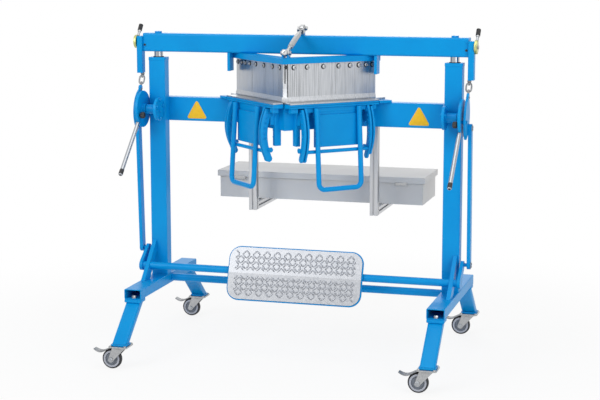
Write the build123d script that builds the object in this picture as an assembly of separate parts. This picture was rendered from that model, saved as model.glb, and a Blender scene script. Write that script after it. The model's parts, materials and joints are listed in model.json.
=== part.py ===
from build123d import *
from math import atan2, cos, degrees, hypot, radians, sin, sqrt
import os

os.makedirs("parts", exist_ok=True)

# A corner folding machine on a wheeled stand. X is its width, Y runs from front to back, Z is up.
# Sizes are in millimetres. While it is drawn, Y = 0 is the plane through the column centres.

# Stand
column_spacing = 1350.0
column_width = 76.0
column_depth = 54.0
column_wall = 3.0
column_cap = 8.0
base_length = 718.0
base_width = 78.0
base_height = 45.0
base_top = 320.0
base_wall = 4.0
gusset_leg = 62.0
gusset_thickness = 8.0
leg_width = 64.0
leg_depth = 52.0
leg_spread = 170.0
leg_flange = 7.0
leg_flange_overhang = 4.0
leg_foot_plate = 6.0
stretcher_radius = 17.0
stretcher_y = 34.0
stretcher_z = 298.0
cross_beam_height = 107.0
cross_beam_depth = 60.0
cross_beam_overhang = 14.0
beam_wall = 4.0

# Casters
wheel_radius = 44.0
wheel_width = 26.0
caster_height = 106.0
caster_trail = 40.0
caster_plate_size = 84.0
caster_plate = 6.0
axle_radius = 5.0
axle_overhang = 4.0
fork_sheet = 3.0
fork_side_gap = 5.0
kingpin_radius = 9.0

# Top beam and its guides
top_beam_height = 82.0
top_beam_depth = 60.0
column_head_gap = 25.0
guide_radius = 20.0
guide_length = 330.0
guide_boss = 8.0
guide_boss_radius = 16.0
clamp_stroke = 25.0

# Vee of the folding table: the bend line starts at the front corner and runs back at 45 degrees
bend_height = 1155.0
table_depth = 20.0
bend_gap = 5.0
table_length = 508.0
table_back_y = 67.2102
bend_corner_y = table_back_y - table_length / sqrt(2)
jaw_thickness = 8.0
jaw_width = 56.0
apron_thickness = 10.0
apron_drop = 121.0
corner_reach = 50.0
corner_lap = 4.0
tail_gap = 2.0

# Blades
clamp_bar_length = table_length - 36
blade_start = 26.0
blade_end = clamp_bar_length - 12
blade_widths = [54.0, 75.0, 85.0, 65.0, 50.0, 38.0, 35.0, 32.0]
blade_stretch = (blade_end - blade_start) / sum(blade_widths)
blade_edges = [blade_start + blade_stretch * sum(blade_widths[:place]) for place in range(len(blade_widths) + 1)]
blade_gap = 0.6
blade_wall = 14.0
blade_height = 162.2
blade_nose_reach = 5.0
blade_nose_height = 21.0
blade_lip = 4.0
corner_slit = 6.0
corner_slit_depth = 84.0
blade_screw_radius = 8.0
blade_screw_head = 5.0
blade_screw_drop = 17.0
seat_gap = 0.3

# Clamp frame
clamp_bar_out = 11.0
clamp_bar_in = 46.0
clamp_bar_height = 24.5
hanger_seat = 2.0238
hanger_x = (clamp_bar_length - clamp_bar_out) / sqrt(2) + hanger_seat
hanger_thickness = 12.0
hanger_drop = 80.0

# Tie rod from the clamp corner to the top of the beam
tie_back = 34.0
tie_y = bend_corner_y + tie_back
tie_ear_rise = 20.0
tie_lug_rise = 30.0
tie_eye_radius = 15.0
tie_rod_radius = 6.0
tie_sleeve_radius = 10.5
tie_lug_thickness = 15.0
tie_pin_radius = 6.0
tie_sleeve_inset = 70.0
tie_fork_depth = 34.0
tie_fork_prong = 6.5
tie_fork_width = 22.0

# Folding wings
wing_start = 45.0
table_tail = 64.0
wing_end = table_length - table_tail
wing_clearance = 1.0
wing_bar_width = 49.0
wing_strip = 6.0
wing_bar_thickness = 17.0
panel_start = 122.0
panel_inner = 40.0
panel_thickness = 8.0
panel_drop = 193.0
cheek_thickness = 10.0
cheek_pair_gap = 5.5
inner_cheek_at = 70.0
outer_cheek_inset = 49.0
outer_cheek_at = wing_end - outer_cheek_inset
panel_inset = 55.0
panel_end = outer_cheek_at - panel_inset
cheek_reach = 88.0
cheek_drop = 240.0
cheek_boss_radius = 9.0
cheek_boss_out = 24.0
cheek_boss_drop = 51.0
handle_radius = 11.0
handle_inset = 4.0
handle_start = panel_start + handle_inset
handle_end = panel_end - handle_inset
handle_top_out = 59.3
handle_bottom_out = 82.0
handle_drop = 372.0
handle_bend = 28.0
handle_rod_radius = 8.0
handle_rod_drop = 211.0

# Side linkages
shaft_y = -80.0
shaft_drop = 67.0
shaft_radius = 12.0
bearing_radius = 52.0
bearing_hub_radius = 21.0
bearing_thickness = 12.0
crank_offset = 43.0
crank_thickness = 12.0
crank_radius = 82.0
crank_pin_offset = 35.0
crank_pin_radius = 7.0
slot_play = 0.25
lever_radius = 9.0
lever_length = 380.0
lever_drop = 43.6
knob_offset = 57.0
knob_radius = 14.0
knob_length = 26.0
toggle_gap = 8.6
toggle_thickness = 10.0
toggle_top_y = -55.0
toggle_rise = 92.0
toggle_bottom_y = -105.0
toggle_drop = 88.0
toggle_half_width = 52.0
link_width = 36.0
link_thickness = 15.0
link_top_y = -55.0
link_top_drop = 43.0
link_bottom_y = -28.0
link_bottom_z = 445.0
link_pin_radius = 8.0
link_eye_play = 3.0
upper_link_y = -24.0
upper_link_width = 26.0
upper_link_depth = 40.0
upper_link_rise = 158.0
upper_link_over = 69.0
turnbuckle_radius = 13.0
dial_rise = 44.0
dial_radius = 29.0
dial_thickness = 11.0
grip_radius = 10.0
grip_rod_radius = 5.0
grip_back = 52.0
grip_rise = 66.0
running_clearance = 0.06

# Treadle
rail_y = -106.0
rail_z = 378.0
rail_radius = 16.5
arm_offset = 46.0
arm_thickness = 14.0
arm_root_radius = 24.0
arm_tip_radius = 17.0
brace_offset = 21.0
brace_thickness = 18.0
brace_width = 56.0
treadle_width = 606.0
treadle_top_y = -94.0
treadle_top_z = 483.0
treadle_bottom_y = -170.0
treadle_bottom_z = 263.0
treadle_fold = 5.0
treadle_sheet = 5.0
treadle_tray = 8.0
treadle_tray_edge = 5.0
treadle_corner = 50.0

# Rack and tool box
profile = 36.0
profile_slot = 8.0
profile_slot_depth = 9.0
rack_x = 286.0
rack_front = 164.0
rack_length = 497.0
rack_top_drop = 31.0
rack_arm_end = 526.0
bracket_height = 52.0
bracket_width = 44.0
box_half = 486.0
box_front = 293.0
box_back = 589.0
box_height = 102.0
box_sheet = 3.0
lid_overhang = 10.0
lid_height = 27.0
lid_lap = 3.0
hinge_radius = 4.0
latch_width = 58.0
latch_height = 12.0
latch_x = 386.0

# Values that follow from the ones above
column_x = column_spacing / 2
column_front = -column_depth / 2
base_bottom = base_top - base_height
cross_beam_top = bend_height - table_depth
blade_top = bend_height + seat_gap + blade_height
top_beam_bottom = blade_top + clamp_bar_height
column_top = top_beam_bottom - column_head_gap
apron_bottom = bend_height - apron_drop
panel_bottom = bend_height - panel_drop
cheek_tip_z = bend_height - cheek_drop
cheek_boss_z = bend_height - cheek_boss_drop
handle_bottom_z = bend_height - handle_drop
handle_rod_z = bend_height - handle_rod_drop
tie_z = top_beam_bottom + tie_ear_rise
brace_x = column_x + brace_offset
arm_x = column_x + arm_offset
shaft_z = bend_height - shaft_drop
crank_x = column_x + crank_offset
base_end = base_length / 2
leg_top_y = base_end - leg_depth / 2
leg_foot_y = leg_top_y + leg_spread
leg_foot_z = caster_height + leg_foot_plate
table_out = -bend_gap + wing_clearance
jaw_bottom = bend_height - jaw_thickness
table_bottom = cross_beam_top
blade_bottom = bend_height + seat_gap
blade_face = table_out - blade_nose_reach
blade_back = blade_face - blade_wall
wing_top = bend_height - wing_clearance
wing_bar_top = wing_top - wing_strip
wing_bottom = wing_bar_top - wing_bar_thickness
wing_out = wing_clearance + wing_bar_width
crank_half_turn = degrees(atan2(clamp_stroke / 2, sqrt(crank_pin_offset**2 - (clamp_stroke / 2) ** 2)))
crank_turn = 2 * crank_half_turn
crank_outer = crank_x + crank_thickness
toggle_x = crank_outer + toggle_gap
toggle_outer = toggle_x + toggle_thickness
toggle_top_z = shaft_z + toggle_rise
toggle_bottom_z = shaft_z - toggle_drop
link_top_z = shaft_z - link_top_drop
link_x = toggle_outer + seat_gap
arm_reach_y = link_bottom_y - rail_y
arm_reach_z = link_bottom_z - rail_z
arm_length = hypot(arm_reach_y, arm_reach_z)
arm_angle = atan2(arm_reach_z, arm_reach_y)
arm_angle_open = atan2(arm_reach_z + clamp_stroke, sqrt(arm_length**2 - (arm_reach_z + clamp_stroke) ** 2))
treadle_turn = degrees(arm_angle_open - arm_angle)
link_length = link_top_z - link_bottom_z
link_swing = arm_length * (cos(arm_angle) - cos(arm_angle_open))
link_turn = degrees(link_swing / link_length)
top_beam_half = toggle_x - 2 * seat_gap
upper_link_x = top_beam_half + seat_gap
upper_link_bottom = shaft_z + upper_link_rise
upper_link_top = top_beam_bottom + upper_link_over
dial_z = top_beam_bottom + dial_rise
rack_top = cross_beam_top - rack_top_drop
rack_bottom = rack_top - rack_length
dial_x = upper_link_x + upper_link_width + seat_gap
box_bottom = rack_bottom + profile
box_top = box_bottom + box_height
hinge_y = box_back + lid_overhang / 2 + hinge_radius / 2
hinge_z = box_top + hinge_radius

nodes = {}


def block(x, y, z):
    """A box between two values on each axis."""
    size = Box(x[1] - x[0], y[1] - y[0], z[1] - z[0])
    return Pos((x[0] + x[1]) / 2, (y[0] + y[1]) / 2, (z[0] + z[1]) / 2) * size


def rod(start, end, radius):
    """A round bar from one point to another."""
    along = Vector(*end) - Vector(*start)
    return Solid.make_cylinder(radius, along.length, Plane(origin=start, z_dir=along))


def side_plate(outline, x0, x1):
    """A plate that stands in a YZ plane, from a closed list of (y, z) points."""
    face = make_face(Polyline(*outline, close=True))
    return extrude(Plane.YZ.offset(x0) * face, amount=x1 - x0)


def lobed_bar(start, end, start_radius, end_radius, x0, x1):
    """A plate in a YZ plane with round ends about two (y, z) points."""
    ends = [Pos(*start) * Circle(start_radius), Pos(*end) * Circle(end_radius)]
    face = make_hull([edge for end_face in ends for edge in end_face.edges()])
    return extrude(Plane.YZ.offset(x0) * face, amount=x1 - x0)


def across(y, z, radius, x0, x1):
    """A round bar parallel to X."""
    return rod((x0, y, z), (x1, y, z), radius)


def mirrored(shape):
    """The same shape on the other side of the machine."""
    return mirror(shape, Plane.YZ)


def pair(shape):
    """A shape and its mirror image, as one compound of separate solids."""
    return Compound(children=list(shape.solids()) + list(mirrored(shape).solids()))


def both_sides(name, shape):
    nodes[name + "_right"] = shape
    nodes[name + "_left"] = mirrored(shape)


def vee(out, inner, length, z):
    """A vee-shaped bar between two offsets from the bend line, positive outwards."""

    def point(along, offset, side):
        return (side * (along + offset) / sqrt(2), bend_corner_y + (along - offset) / sqrt(2))

    def corner(offset):
        return (0, bend_corner_y - offset * sqrt(2))

    outline = [point(length, out, 1), corner(out), point(length, out, -1)]
    outline += [point(length, inner, -1), corner(inner), point(length, inner, 1)]
    face = make_face(Polyline(*outline, close=True))
    return Pos(0, 0, z[0]) * extrude(face, amount=z[1] - z[0])


# Local frame of the right arm: x runs along the bend line, y points inwards, z is up
arm_plane = Plane(origin=(0, bend_corner_y, 0), x_dir=(1, 1, 0), z_dir=(0, 0, 1))


def arm_profile(outline, start, end):
    """A bar along the right bend line, from a closed list of (offset outwards, z) points."""
    face = make_face(Polyline(*outline, close=True))
    section = Plane(origin=(start, 0, 0), x_dir=(0, -1, 0), z_dir=(-1, 0, 0)) * face
    return arm_plane * extrude(section, amount=start - end)


def arm_block(along, out, z):
    """A box in the frame of the right arm, with offsets outwards from the bend line."""
    return arm_plane * block(along, (-out[1], -out[0]), z)


def arm_point(along, out, z):
    """A point in the frame of the right arm, turned into the drawing frame."""
    return ((along + out) / sqrt(2), bend_corner_y + (along - out) / sqrt(2), z)


def build_stand():
    half = base_width / 2
    tube = block((column_x - half, column_x + half), (-base_end, base_end), (base_bottom, base_top))
    tube = fillet(tube.edges().filter_by(Axis.Y), base_wall)
    tube -= block(
        (column_x - half + base_wall, column_x + half - base_wall),
        (-base_end - 1, base_end + 1),
        (base_bottom + base_wall, base_top - base_wall),
    )
    both_sides("base", tube)

    half = column_width / 2
    deep = column_depth / 2
    column = block((column_x - half, column_x + half), (-deep, deep), (base_top, column_top))
    column = fillet(column.edges().filter_by(Axis.Z), column_wall)
    column -= block(
        (column_x - half + column_wall, column_x + half - column_wall),
        (-deep + column_wall, deep - column_wall),
        (base_top - 1, column_top - column_cap),
    )
    column -= rod(
        (column_x, 0, column_top - 2 * column_cap),
        (column_x, 0, column_top + 1),
        guide_radius + running_clearance,
    )
    rear = [(deep, base_top), (deep + gusset_leg, base_top), (deep, base_top + gusset_leg)]
    column += side_plate(rear, column_x - gusset_thickness / 2, column_x + gusset_thickness / 2)
    both_sides("column", column)

    legs = []
    plates = []
    for end in (-1, 1):
        wide = (column_x - leg_width / 2, column_x + leg_width / 2)
        outline = [
            (end * (leg_top_y - leg_depth / 2), base_bottom - leg_flange),
            (end * (leg_top_y + leg_depth / 2), base_bottom - leg_flange),
            (end * (leg_foot_y + leg_depth / 2), leg_foot_z),
            (end * (leg_foot_y - leg_depth / 2), leg_foot_z),
        ]
        leg = side_plate(outline, *wide)
        over = leg_flange_overhang
        top = sorted((end * (leg_top_y - leg_depth / 2 - over), end * (base_end + over)))
        leg += block((wide[0] - over - 3, wide[1] + over + 3), top, (base_bottom - leg_flange, base_bottom))
        foot = sorted((end * (leg_foot_y - leg_depth / 2 - over), end * (leg_foot_y + leg_depth / 2 + over)))
        leg += block((wide[0] - over, wide[1] + over), foot, (caster_height, leg_foot_z))
        legs.append(leg)
        side = caster_plate_size / 2
        plate = block(
            (column_x - side, column_x + side),
            (end * leg_foot_y - side, end * leg_foot_y + side),
            (caster_height - caster_plate, caster_height),
        )
        plate = fillet(plate.edges().filter_by(Axis.Z), leg_flange)
        plate -= rod(
            (column_x, end * leg_foot_y, 0),
            (column_x, end * leg_foot_y, caster_height - caster_plate / 6),
            kingpin_radius + running_clearance,
        )
        plates.append(plate)
    nodes["front_legs"] = pair(legs[0])
    nodes["rear_legs"] = pair(legs[1])
    nodes["caster_plates"] = pair(Compound(children=plates))

    inner_face = column_x - base_width / 2
    nodes["stretcher"] = across(stretcher_y, stretcher_z, stretcher_radius, -inner_face, inner_face)

    back = column_depth / 2
    end_x = column_x + column_width / 2 - cross_beam_overhang
    low = cross_beam_top - cross_beam_height
    beam = block((-end_x, end_x), (back, back + cross_beam_depth), (low, cross_beam_top))
    beam = fillet(beam.edges().filter_by(Axis.X), beam_wall)
    beam -= block(
        (-end_x + beam_wall, end_x - beam_wall),
        (back + beam_wall, back + cross_beam_depth - beam_wall),
        (low + beam_wall, cross_beam_top - beam_wall),
    )
    nodes["cross_beam"] = beam


def build_bearings():
    """Shaft bearings on the fronts of the columns: a flange, a hub and a pad on the column."""
    inner = column_x - column_width / 2 + 6
    bearing = across(shaft_y, shaft_z, bearing_radius, inner, inner + bearing_thickness)
    hub_end = column_x + column_width / 2 - 10
    bearing += across(shaft_y, shaft_z, bearing_hub_radius, inner, hub_end)
    pad = bearing_hub_radius * 0.8
    for start, end in ((inner, inner + bearing_thickness), (hub_end - bearing_thickness, hub_end)):
        bearing += block((start, end), (shaft_y, column_front), (shaft_z - pad, shaft_z + pad))
    bearing -= across(shaft_y, shaft_z, shaft_radius + running_clearance, inner - 1, hub_end + 1)
    nodes["shaft_bearings"] = pair(bearing)


def build_braces():
    """Slanting flat braces from the column fronts to the bases, bored for the treadle rail."""
    low_y = rail_y - (rail_z - base_top) * 0.8
    high_y = column_front
    run = high_y - rail_y
    high_z = rail_z + run / 0.8
    half = brace_width / 2 * hypot(1, 0.8)
    outline = [
        (low_y - half, base_top),
        (low_y + half, base_top),
        (high_y, high_z - half / 0.8),
        (high_y, high_z + half / 0.8 * 0.2),
    ]
    brace = side_plate(outline, brace_x - brace_thickness / 2, brace_x + brace_thickness / 2)
    brace -= across(rail_y, rail_z, rail_radius + running_clearance, brace_x - 20, brace_x + 20)
    nodes["treadle_braces"] = pair(brace)


def build_casters():
    """Swivel forks that trail towards the left, each with a brake pedal and a wheel."""
    cheek_in = wheel_width / 2 + fork_side_gap
    cheek_out = cheek_in + fork_sheet
    fork_top = caster_height - caster_plate - seat_gap
    for side, side_name in ((-1, "left"), (1, "right")):
        for end, end_name in ((-1, "front"), (1, "rear")):
            x = side * column_x
            y = end * leg_foot_y
            wheel_x = x - caster_trail
            fork = rod((x, y, fork_top - 6), (x, y, fork_top), 28)
            fork += rod((x, y, fork_top - 6), (x, y, caster_height - caster_plate / 3), kingpin_radius)
            fork += block((x - 34, x + 22), (y - cheek_out, y + cheek_out), (fork_top - 6, fork_top))
            cheek = make_face(
                Polyline(
                    (x + 24, fork_top),
                    (x - 32, fork_top),
                    (wheel_x - 15, wheel_radius + 4),
                    (wheel_x - 9, wheel_radius - 12),
                    (wheel_x + 9, wheel_radius - 12),
                    (wheel_x + 18, wheel_radius + 10),
                    close=True,
                )
            )
            for offset in (-cheek_out, cheek_in):
                fork += extrude(Plane.XZ.offset(-(y + offset)) * cheek, amount=-fork_sheet)
            axle_end = cheek_out + axle_overhang
            fork += rod((wheel_x, y - axle_end, wheel_radius), (wheel_x, y + axle_end, wheel_radius), axle_radius)
            pedal = make_face(
                Polyline(
                    (x - 32, fork_top - 5),
                    (x - 70, fork_top - 5),
                    (x - 96, fork_top - 12),
                    (x - 122, fork_top - 23),
                    (x - 125, fork_top - 18),
                    (x - 98, fork_top - 5),
                    (x - 72, fork_top),
                    (x - 32, fork_top),
                    close=True,
                )
            )
            fork += extrude(Plane.XZ.offset(-(y - 16)) * pedal, amount=-32)
            nodes[f"caster_fork_{end_name}_{side_name}"] = fork

            half = wheel_width / 2
            tread = [
                (axle_radius + running_clearance, -half),
                (14, -half),
                (14, -half + 4),
                (32, -half + 4),
                (32, -half + 1),
                (38, -half + 1),
                (wheel_radius, -half + 6),
                (wheel_radius, half - 6),
                (38, half - 1),
                (32, half - 1),
                (32, half - 4),
                (14, half - 4),
                (14, half),
                (axle_radius + running_clearance, half),
            ]
            section = make_face(Polyline(*tread, close=True))
            wheel = revolve(Plane.XY * section, Axis.Y)
            nodes[f"caster_wheel_{end_name}_{side_name}"] = Pos(wheel_x, y, wheel_radius) * wheel


def build_top_beam():
    deep = top_beam_depth / 2
    top = top_beam_bottom + top_beam_height
    beam = block((-top_beam_half, top_beam_half), (-deep, deep), (top_beam_bottom, top))
    beam = fillet(beam.edges().filter_by(Axis.X), 9)
    for side in (-1, 1):
        x = side * column_x
        beam += rod((x, 0, top - 1), (x, 0, top + guide_boss), guide_boss_radius)
    nodes["top_beam"] = beam
    guide = rod(
        (column_x, 0, top_beam_bottom - guide_length),
        (column_x, 0, top_beam_bottom),
        guide_radius,
    )
    nodes["guide_posts"] = pair(guide)


def build_clamp_head():
    bar_z = (blade_top, top_beam_bottom)
    frame = vee(clamp_bar_out, -clamp_bar_in, clamp_bar_length, bar_z)
    reach = top_beam_depth / 2 - 3
    for side in (-1, 1):
        hanger_side = sorted((side * hanger_x, side * (hanger_x + hanger_thickness)))
        low = top_beam_bottom - hanger_drop
        frame += block(hanger_side, (-reach, reach), (low, top_beam_bottom))
    nodes["clamp_frame"] = frame

    section = [
        (table_out, blade_bottom),
        (table_out, blade_bottom + blade_lip),
        (blade_face, blade_bottom + blade_nose_height),
        (blade_face, blade_top),
        (blade_back, blade_top),
        (blade_back, blade_bottom),
    ]
    blades = []
    screws = []
    for start, end in zip(blade_edges, blade_edges[1:]):
        blades.append(arm_profile(section, start + blade_gap / 2, end - blade_gap / 2))
        at = (start + end) / 2
        z = blade_top - blade_screw_drop
        seat = arm_point(at, blade_face, z)
        top = arm_point(at, blade_face + blade_screw_head, z)
        screws.append(rod(seat, top, blade_screw_radius))
    both_sides("blades", Compound(children=blades))
    nodes["blade_screws"] = pair(Compound(children=screws))

    edge = blade_edges[0] - blade_gap / 2
    corner = vee(blade_face, blade_back, edge, (blade_bottom, blade_top))
    nose = vee(table_out, blade_face, edge, (blade_bottom, blade_bottom + blade_nose_height))
    corner += nose
    slit_y = bend_corner_y - blade_face * sqrt(2)
    corner -= block(
        (-corner_slit / 2, corner_slit / 2),
        (slit_y - 30, slit_y + blade_wall * 0.6),
        (blade_top - corner_slit_depth, blade_top + 1),
    )
    nodes["corner_blade"] = corner


def build_tie_rod():
    """A threaded strut between lugs, with an eye in front and a fork over the beam."""
    beam_top = top_beam_bottom + top_beam_height
    pin_y = 0.0
    pin_z = beam_top + tie_lug_rise
    along = Vector(0, pin_y - tie_y, pin_z - tie_z)
    length = along.length
    half = tie_lug_thickness / 2
    frame = Plane(origin=(0, tie_y, tie_z), x_dir=(1, 0, 0), z_dir=along)
    prong = tie_fork_prong
    wide = tie_fork_width / 2
    tie = Rot(0, 90, 0) * Cylinder(tie_eye_radius, tie_lug_thickness)
    tie += Pos(0, 0, (length - tie_fork_depth) / 2) * Cylinder(tie_rod_radius, length - tie_fork_depth)
    tie += Pos(0, 0, length / 2) * Cylinder(tie_sleeve_radius, length - 2 * tie_sleeve_inset)
    tie += block(
        (-half - prong - seat_gap, half + prong + seat_gap),
        (-wide, wide),
        (length - tie_fork_depth - prong, length - tie_fork_depth),
    )
    for side in (-1, 1):
        x = sorted((side * (half + seat_gap), side * (half + prong + seat_gap)))
        tie += block(x, (-wide, wide), (length - tie_fork_depth - prong, length))
        tie += Pos(sum(x) / 2, 0, length) * Rot(0, 90, 0) * Cylinder(wide, prong)
    tie += Pos(0, 0, length) * Rot(0, 90, 0) * Cylinder(tie_pin_radius, 2 * half + 4 * prong)
    tie = frame * tie
    nodes["tie_rod"] = tie

    lug = lobed_bar((pin_y, beam_top + 4), (pin_y, pin_z), 15, 13, -half, half)
    lug -= block((-column_x, column_x), (-column_x, column_x), (top_beam_bottom, beam_top - 1))
    lug -= across(pin_y, pin_z, tie_pin_radius + running_clearance, -half - 1, half + 1)
    nodes["top_beam"] += lug
    for side in (-1, 1):
        x = sorted((side * (half + seat_gap), side * (half + 8)))
        ear = lobed_bar((tie_y, top_beam_bottom), (tie_y, tie_z), 14, 12, *x)
        ear -= block((-column_x, column_x), (2 * tie_y, 0), (0, top_beam_bottom - 1))
        nodes["clamp_frame"] += ear


def build_table():
    table = vee(table_out, -jaw_width, table_length, (table_bottom, jaw_bottom))
    apron = vee(table_out, table_out - apron_thickness, table_length, (apron_bottom, table_bottom))
    inner = vee(-jaw_width + apron_thickness, -jaw_width, table_length, (apron_bottom, table_bottom))
    behind = block((-column_x, column_x), (column_depth / 2, column_spacing), (0, table_bottom))
    table += apron - behind
    table += inner - behind
    corner_z = (table_bottom - corner_lap, jaw_bottom)
    table += vee(table_out + corner_reach, table_out, wing_start - bend_gap, corner_z)
    tail_along = (wing_end + bend_gap + tail_gap, table_length)
    tail = arm_block(tail_along, (table_out, wing_out + corner_lap), (table_bottom, jaw_bottom))
    table += tail
    table += mirrored(tail)
    nodes["folding_table"] = table
    strip = vee(table_out, -jaw_width + 16, table_length, (jaw_bottom, bend_height))
    nodes["table_strips"] = strip

    guides = []
    for at, side in ((inner_cheek_at, -1), (outer_cheek_at, 1)):
        start = at + side * cheek_pair_gap / 2
        end = start + side * cheek_thickness
        lo, hi = sorted((start, end))
        guide = cheek(lo, hi, -bend_gap + wing_clearance, wing_bottom - bend_gap)
        boss_end = start - side * (cheek_pair_gap - seat_gap)
        boss = sorted((start, boss_end))
        guide += Solid.make_cylinder(
            cheek_boss_radius,
            boss[1] - boss[0],
            Plane(origin=arm_point(boss[0], cheek_boss_out, cheek_boss_z), z_dir=(1, 1, 0)),
        )
        guides.append(guide)
    nodes["bend_guides"] = pair(Compound(children=guides))


def cheek(start, end, root, top):
    """A crescent plate square to the bend line, from its root out to its reach and down to a tip."""
    mid_z = (top + cheek_tip_z) / 2 + 12
    outer = ThreePointArc((root + 48, top), (cheek_reach, mid_z), (cheek_reach - 36, cheek_tip_z))
    inner = ThreePointArc((cheek_reach - 52, cheek_tip_z + 4), (cheek_reach - 36, mid_z), (root, apron_bottom + 20))
    lines = [
        outer,
        Line(outer @ 1, inner @ 0),
        inner,
        Line(inner @ 1, (root, top)),
        Line((root, top), outer @ 0),
    ]
    face = make_face(lines)
    section = Plane(origin=(start, 0, 0), x_dir=(0, -1, 0), z_dir=(-1, 0, 0)) * face
    return arm_plane * extrude(section, amount=start - end)


def build_wings():
    bar = arm_block((wing_start, wing_end), (wing_clearance, wing_out), (wing_bottom, wing_bar_top))
    panel = arm_block(
        (panel_start, panel_end),
        (panel_inner, panel_inner + panel_thickness),
        (panel_bottom, wing_bottom),
    )
    wing = bar + panel
    band = arm_block(
        (panel_start, panel_end),
        (panel_inner - 10, panel_inner),
        (wing_bottom - 40, wing_bottom),
    )
    wing += band
    for at, side in ((inner_cheek_at, 1), (outer_cheek_at, -1)):
        start = at + side * cheek_pair_gap / 2
        end = start + side * cheek_thickness
        lo, hi = sorted((start, end))
        wing += cheek(lo, hi, wing_clearance, wing_bottom)
    both_sides("wing", wing)

    strip = arm_block((wing_start, wing_end), (wing_clearance, wing_out), (wing_bar_top, wing_top))
    both_sides("wing_strip", strip)

    top_z = wing_bottom - seat_gap
    corners = [
        arm_point(handle_start, handle_top_out, top_z),
        arm_point(handle_start, handle_bottom_out, handle_bottom_z),
        arm_point(handle_end, handle_bottom_out, handle_bottom_z),
        arm_point(handle_end, handle_top_out, top_z),
    ]
    path = FilletPolyline(*corners, radius=handle_bend)
    start = Plane(origin=corners[0], z_dir=path % 0)
    handle = sweep(start * Circle(handle_radius), path)
    drop = (top_z - handle_rod_z) / (top_z - handle_bottom_z)
    out = handle_top_out + (handle_bottom_out - handle_top_out) * drop
    handle += rod(
        arm_point(handle_start - 20, out, handle_rod_z),
        arm_point(handle_end + 16, out, handle_rod_z),
        handle_rod_radius,
    )
    both_sides("handle", handle)


def build_side_linkage():
    shaft_start = column_x - column_width / 2
    crank = across(shaft_y, shaft_z, crank_radius, crank_x, crank_outer)
    crank = chamfer(crank.edges(), 2)
    crank += across(shaft_y, shaft_z, shaft_radius, shaft_start, crank_x)
    crank += across(shaft_y, shaft_z, bearing_hub_radius + 4, column_x + column_width / 2 - 8, crank_x)
    pin_y = shaft_y - crank_pin_offset * cos(radians(crank_half_turn))
    pin_z = shaft_z - crank_pin_offset * sin(radians(crank_half_turn))
    crank += across(pin_y, pin_z, crank_pin_radius, crank_outer, toggle_outer + 5)
    both_sides("crank", crank)

    knob_angle = radians(lever_drop - 20)
    knob_y = shaft_y - knob_offset * cos(knob_angle)
    knob_z = shaft_z - knob_offset * sin(knob_angle)
    knob = across(knob_y, knob_z, knob_radius, crank_x - knob_length, crank_x - 3)
    knob += across(knob_y, knob_z, knob_radius * 0.5, crank_x - 3, crank_x)
    both_sides("index_knob", knob)

    drop = radians(lever_drop)
    lever_x = crank_x + crank_thickness / 2

    def radial(distance):
        return (lever_x, shaft_y - distance * cos(drop), shaft_z - distance * sin(drop))

    lever = rod(radial(crank_radius + seat_gap), radial(lever_length), lever_radius)
    lever = fillet(lever.edges(), 3)
    both_sides("lever", lever)

    top = (toggle_top_y, toggle_top_z)
    bottom = (toggle_bottom_y, toggle_bottom_z)
    middle = ((top[0] + bottom[0]) / 2, (top[1] + bottom[1]) / 2)
    length = hypot(top[0] - bottom[0], top[1] - bottom[1])
    across_y = (top[1] - bottom[1]) / length
    across_z = -(top[0] - bottom[0]) / length
    lead = (middle[0] - across_y * toggle_half_width, middle[1] - across_z * toggle_half_width)
    tail = (middle[0] + across_y * toggle_half_width, middle[1] + across_z * toggle_half_width)
    lens = make_face([ThreePointArc(top, lead, bottom), ThreePointArc(bottom, tail, top)])
    toggle = extrude(Plane.YZ.offset(toggle_x) * lens, amount=toggle_thickness)
    toggle += across(*top, 13, toggle_x, toggle_outer)
    toggle += across(link_top_y, link_top_z, link_width / 2, toggle_x, toggle_outer)
    slot_half = crank_pin_radius + slot_play
    slot_reach = crank_pin_offset * (1 - cos(radians(crank_half_turn))) + slot_half + 0.5
    toggle -= block(
        (toggle_x - 1, toggle_outer + 1),
        (pin_y - slot_reach, pin_y + slot_half + 0.5),
        (pin_z - slot_half, pin_z + slot_half),
    )
    toggle += across(link_top_y, link_top_z, link_pin_radius, toggle_outer, link_x + link_thickness + 4)
    nodes["toggle_plates"] = pair(toggle)

    link = lobed_bar(
        (link_top_y, link_top_z),
        (link_bottom_y, link_bottom_z),
        link_width / 2,
        link_width / 2,
        link_x,
        link_x + link_thickness,
    )
    link -= across(link_top_y, link_top_z, link_pin_radius + running_clearance, link_x - 1, link_x + 40)
    link -= across(link_bottom_y, link_bottom_z, link_pin_radius + link_eye_play, link_x - 1, link_x + 40)
    both_sides("lower_link", link)

    deep = upper_link_depth / 2
    upper = block(
        (upper_link_x, upper_link_x + upper_link_width),
        (upper_link_y - deep, upper_link_y + deep),
        (upper_link_bottom, upper_link_top),
    )
    upper = fillet(upper.edges().filter_by(Axis.Z), 4)
    nodes["upper_links"] = pair(upper)

    fork_x = (toggle_x + toggle_outer) / 2
    thick = toggle_thickness / 2
    low = Vector(fork_x, toggle_top_y, toggle_top_z)
    high = Vector(fork_x, upper_link_y, upper_link_bottom)
    unit = (high - low).normalized()
    length = (high - low).length

    def along(distance):
        spot = low + unit * distance
        return (spot.X, spot.Y, spot.Z)

    buckle = rod(along(24), along(length - 6), 6)
    buckle += rod(along(30), along(length - 20), turnbuckle_radius)
    buckle += rod(along(15), along(26), 11)
    buckle += block(
        (fork_x - 9, fork_x + 9),
        (upper_link_y - 9, upper_link_y + 9),
        (upper_link_bottom - 12, upper_link_bottom),
    )
    for side in (-1, 1):
        x = sorted((fork_x + side * (thick + seat_gap), fork_x + side * (thick + 4)))
        start = along(20)
        buckle += lobed_bar((start[1], start[2]), (low.Y, low.Z), 10, 10, *x)
    nodes["turnbuckles"] = pair(buckle)


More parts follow.
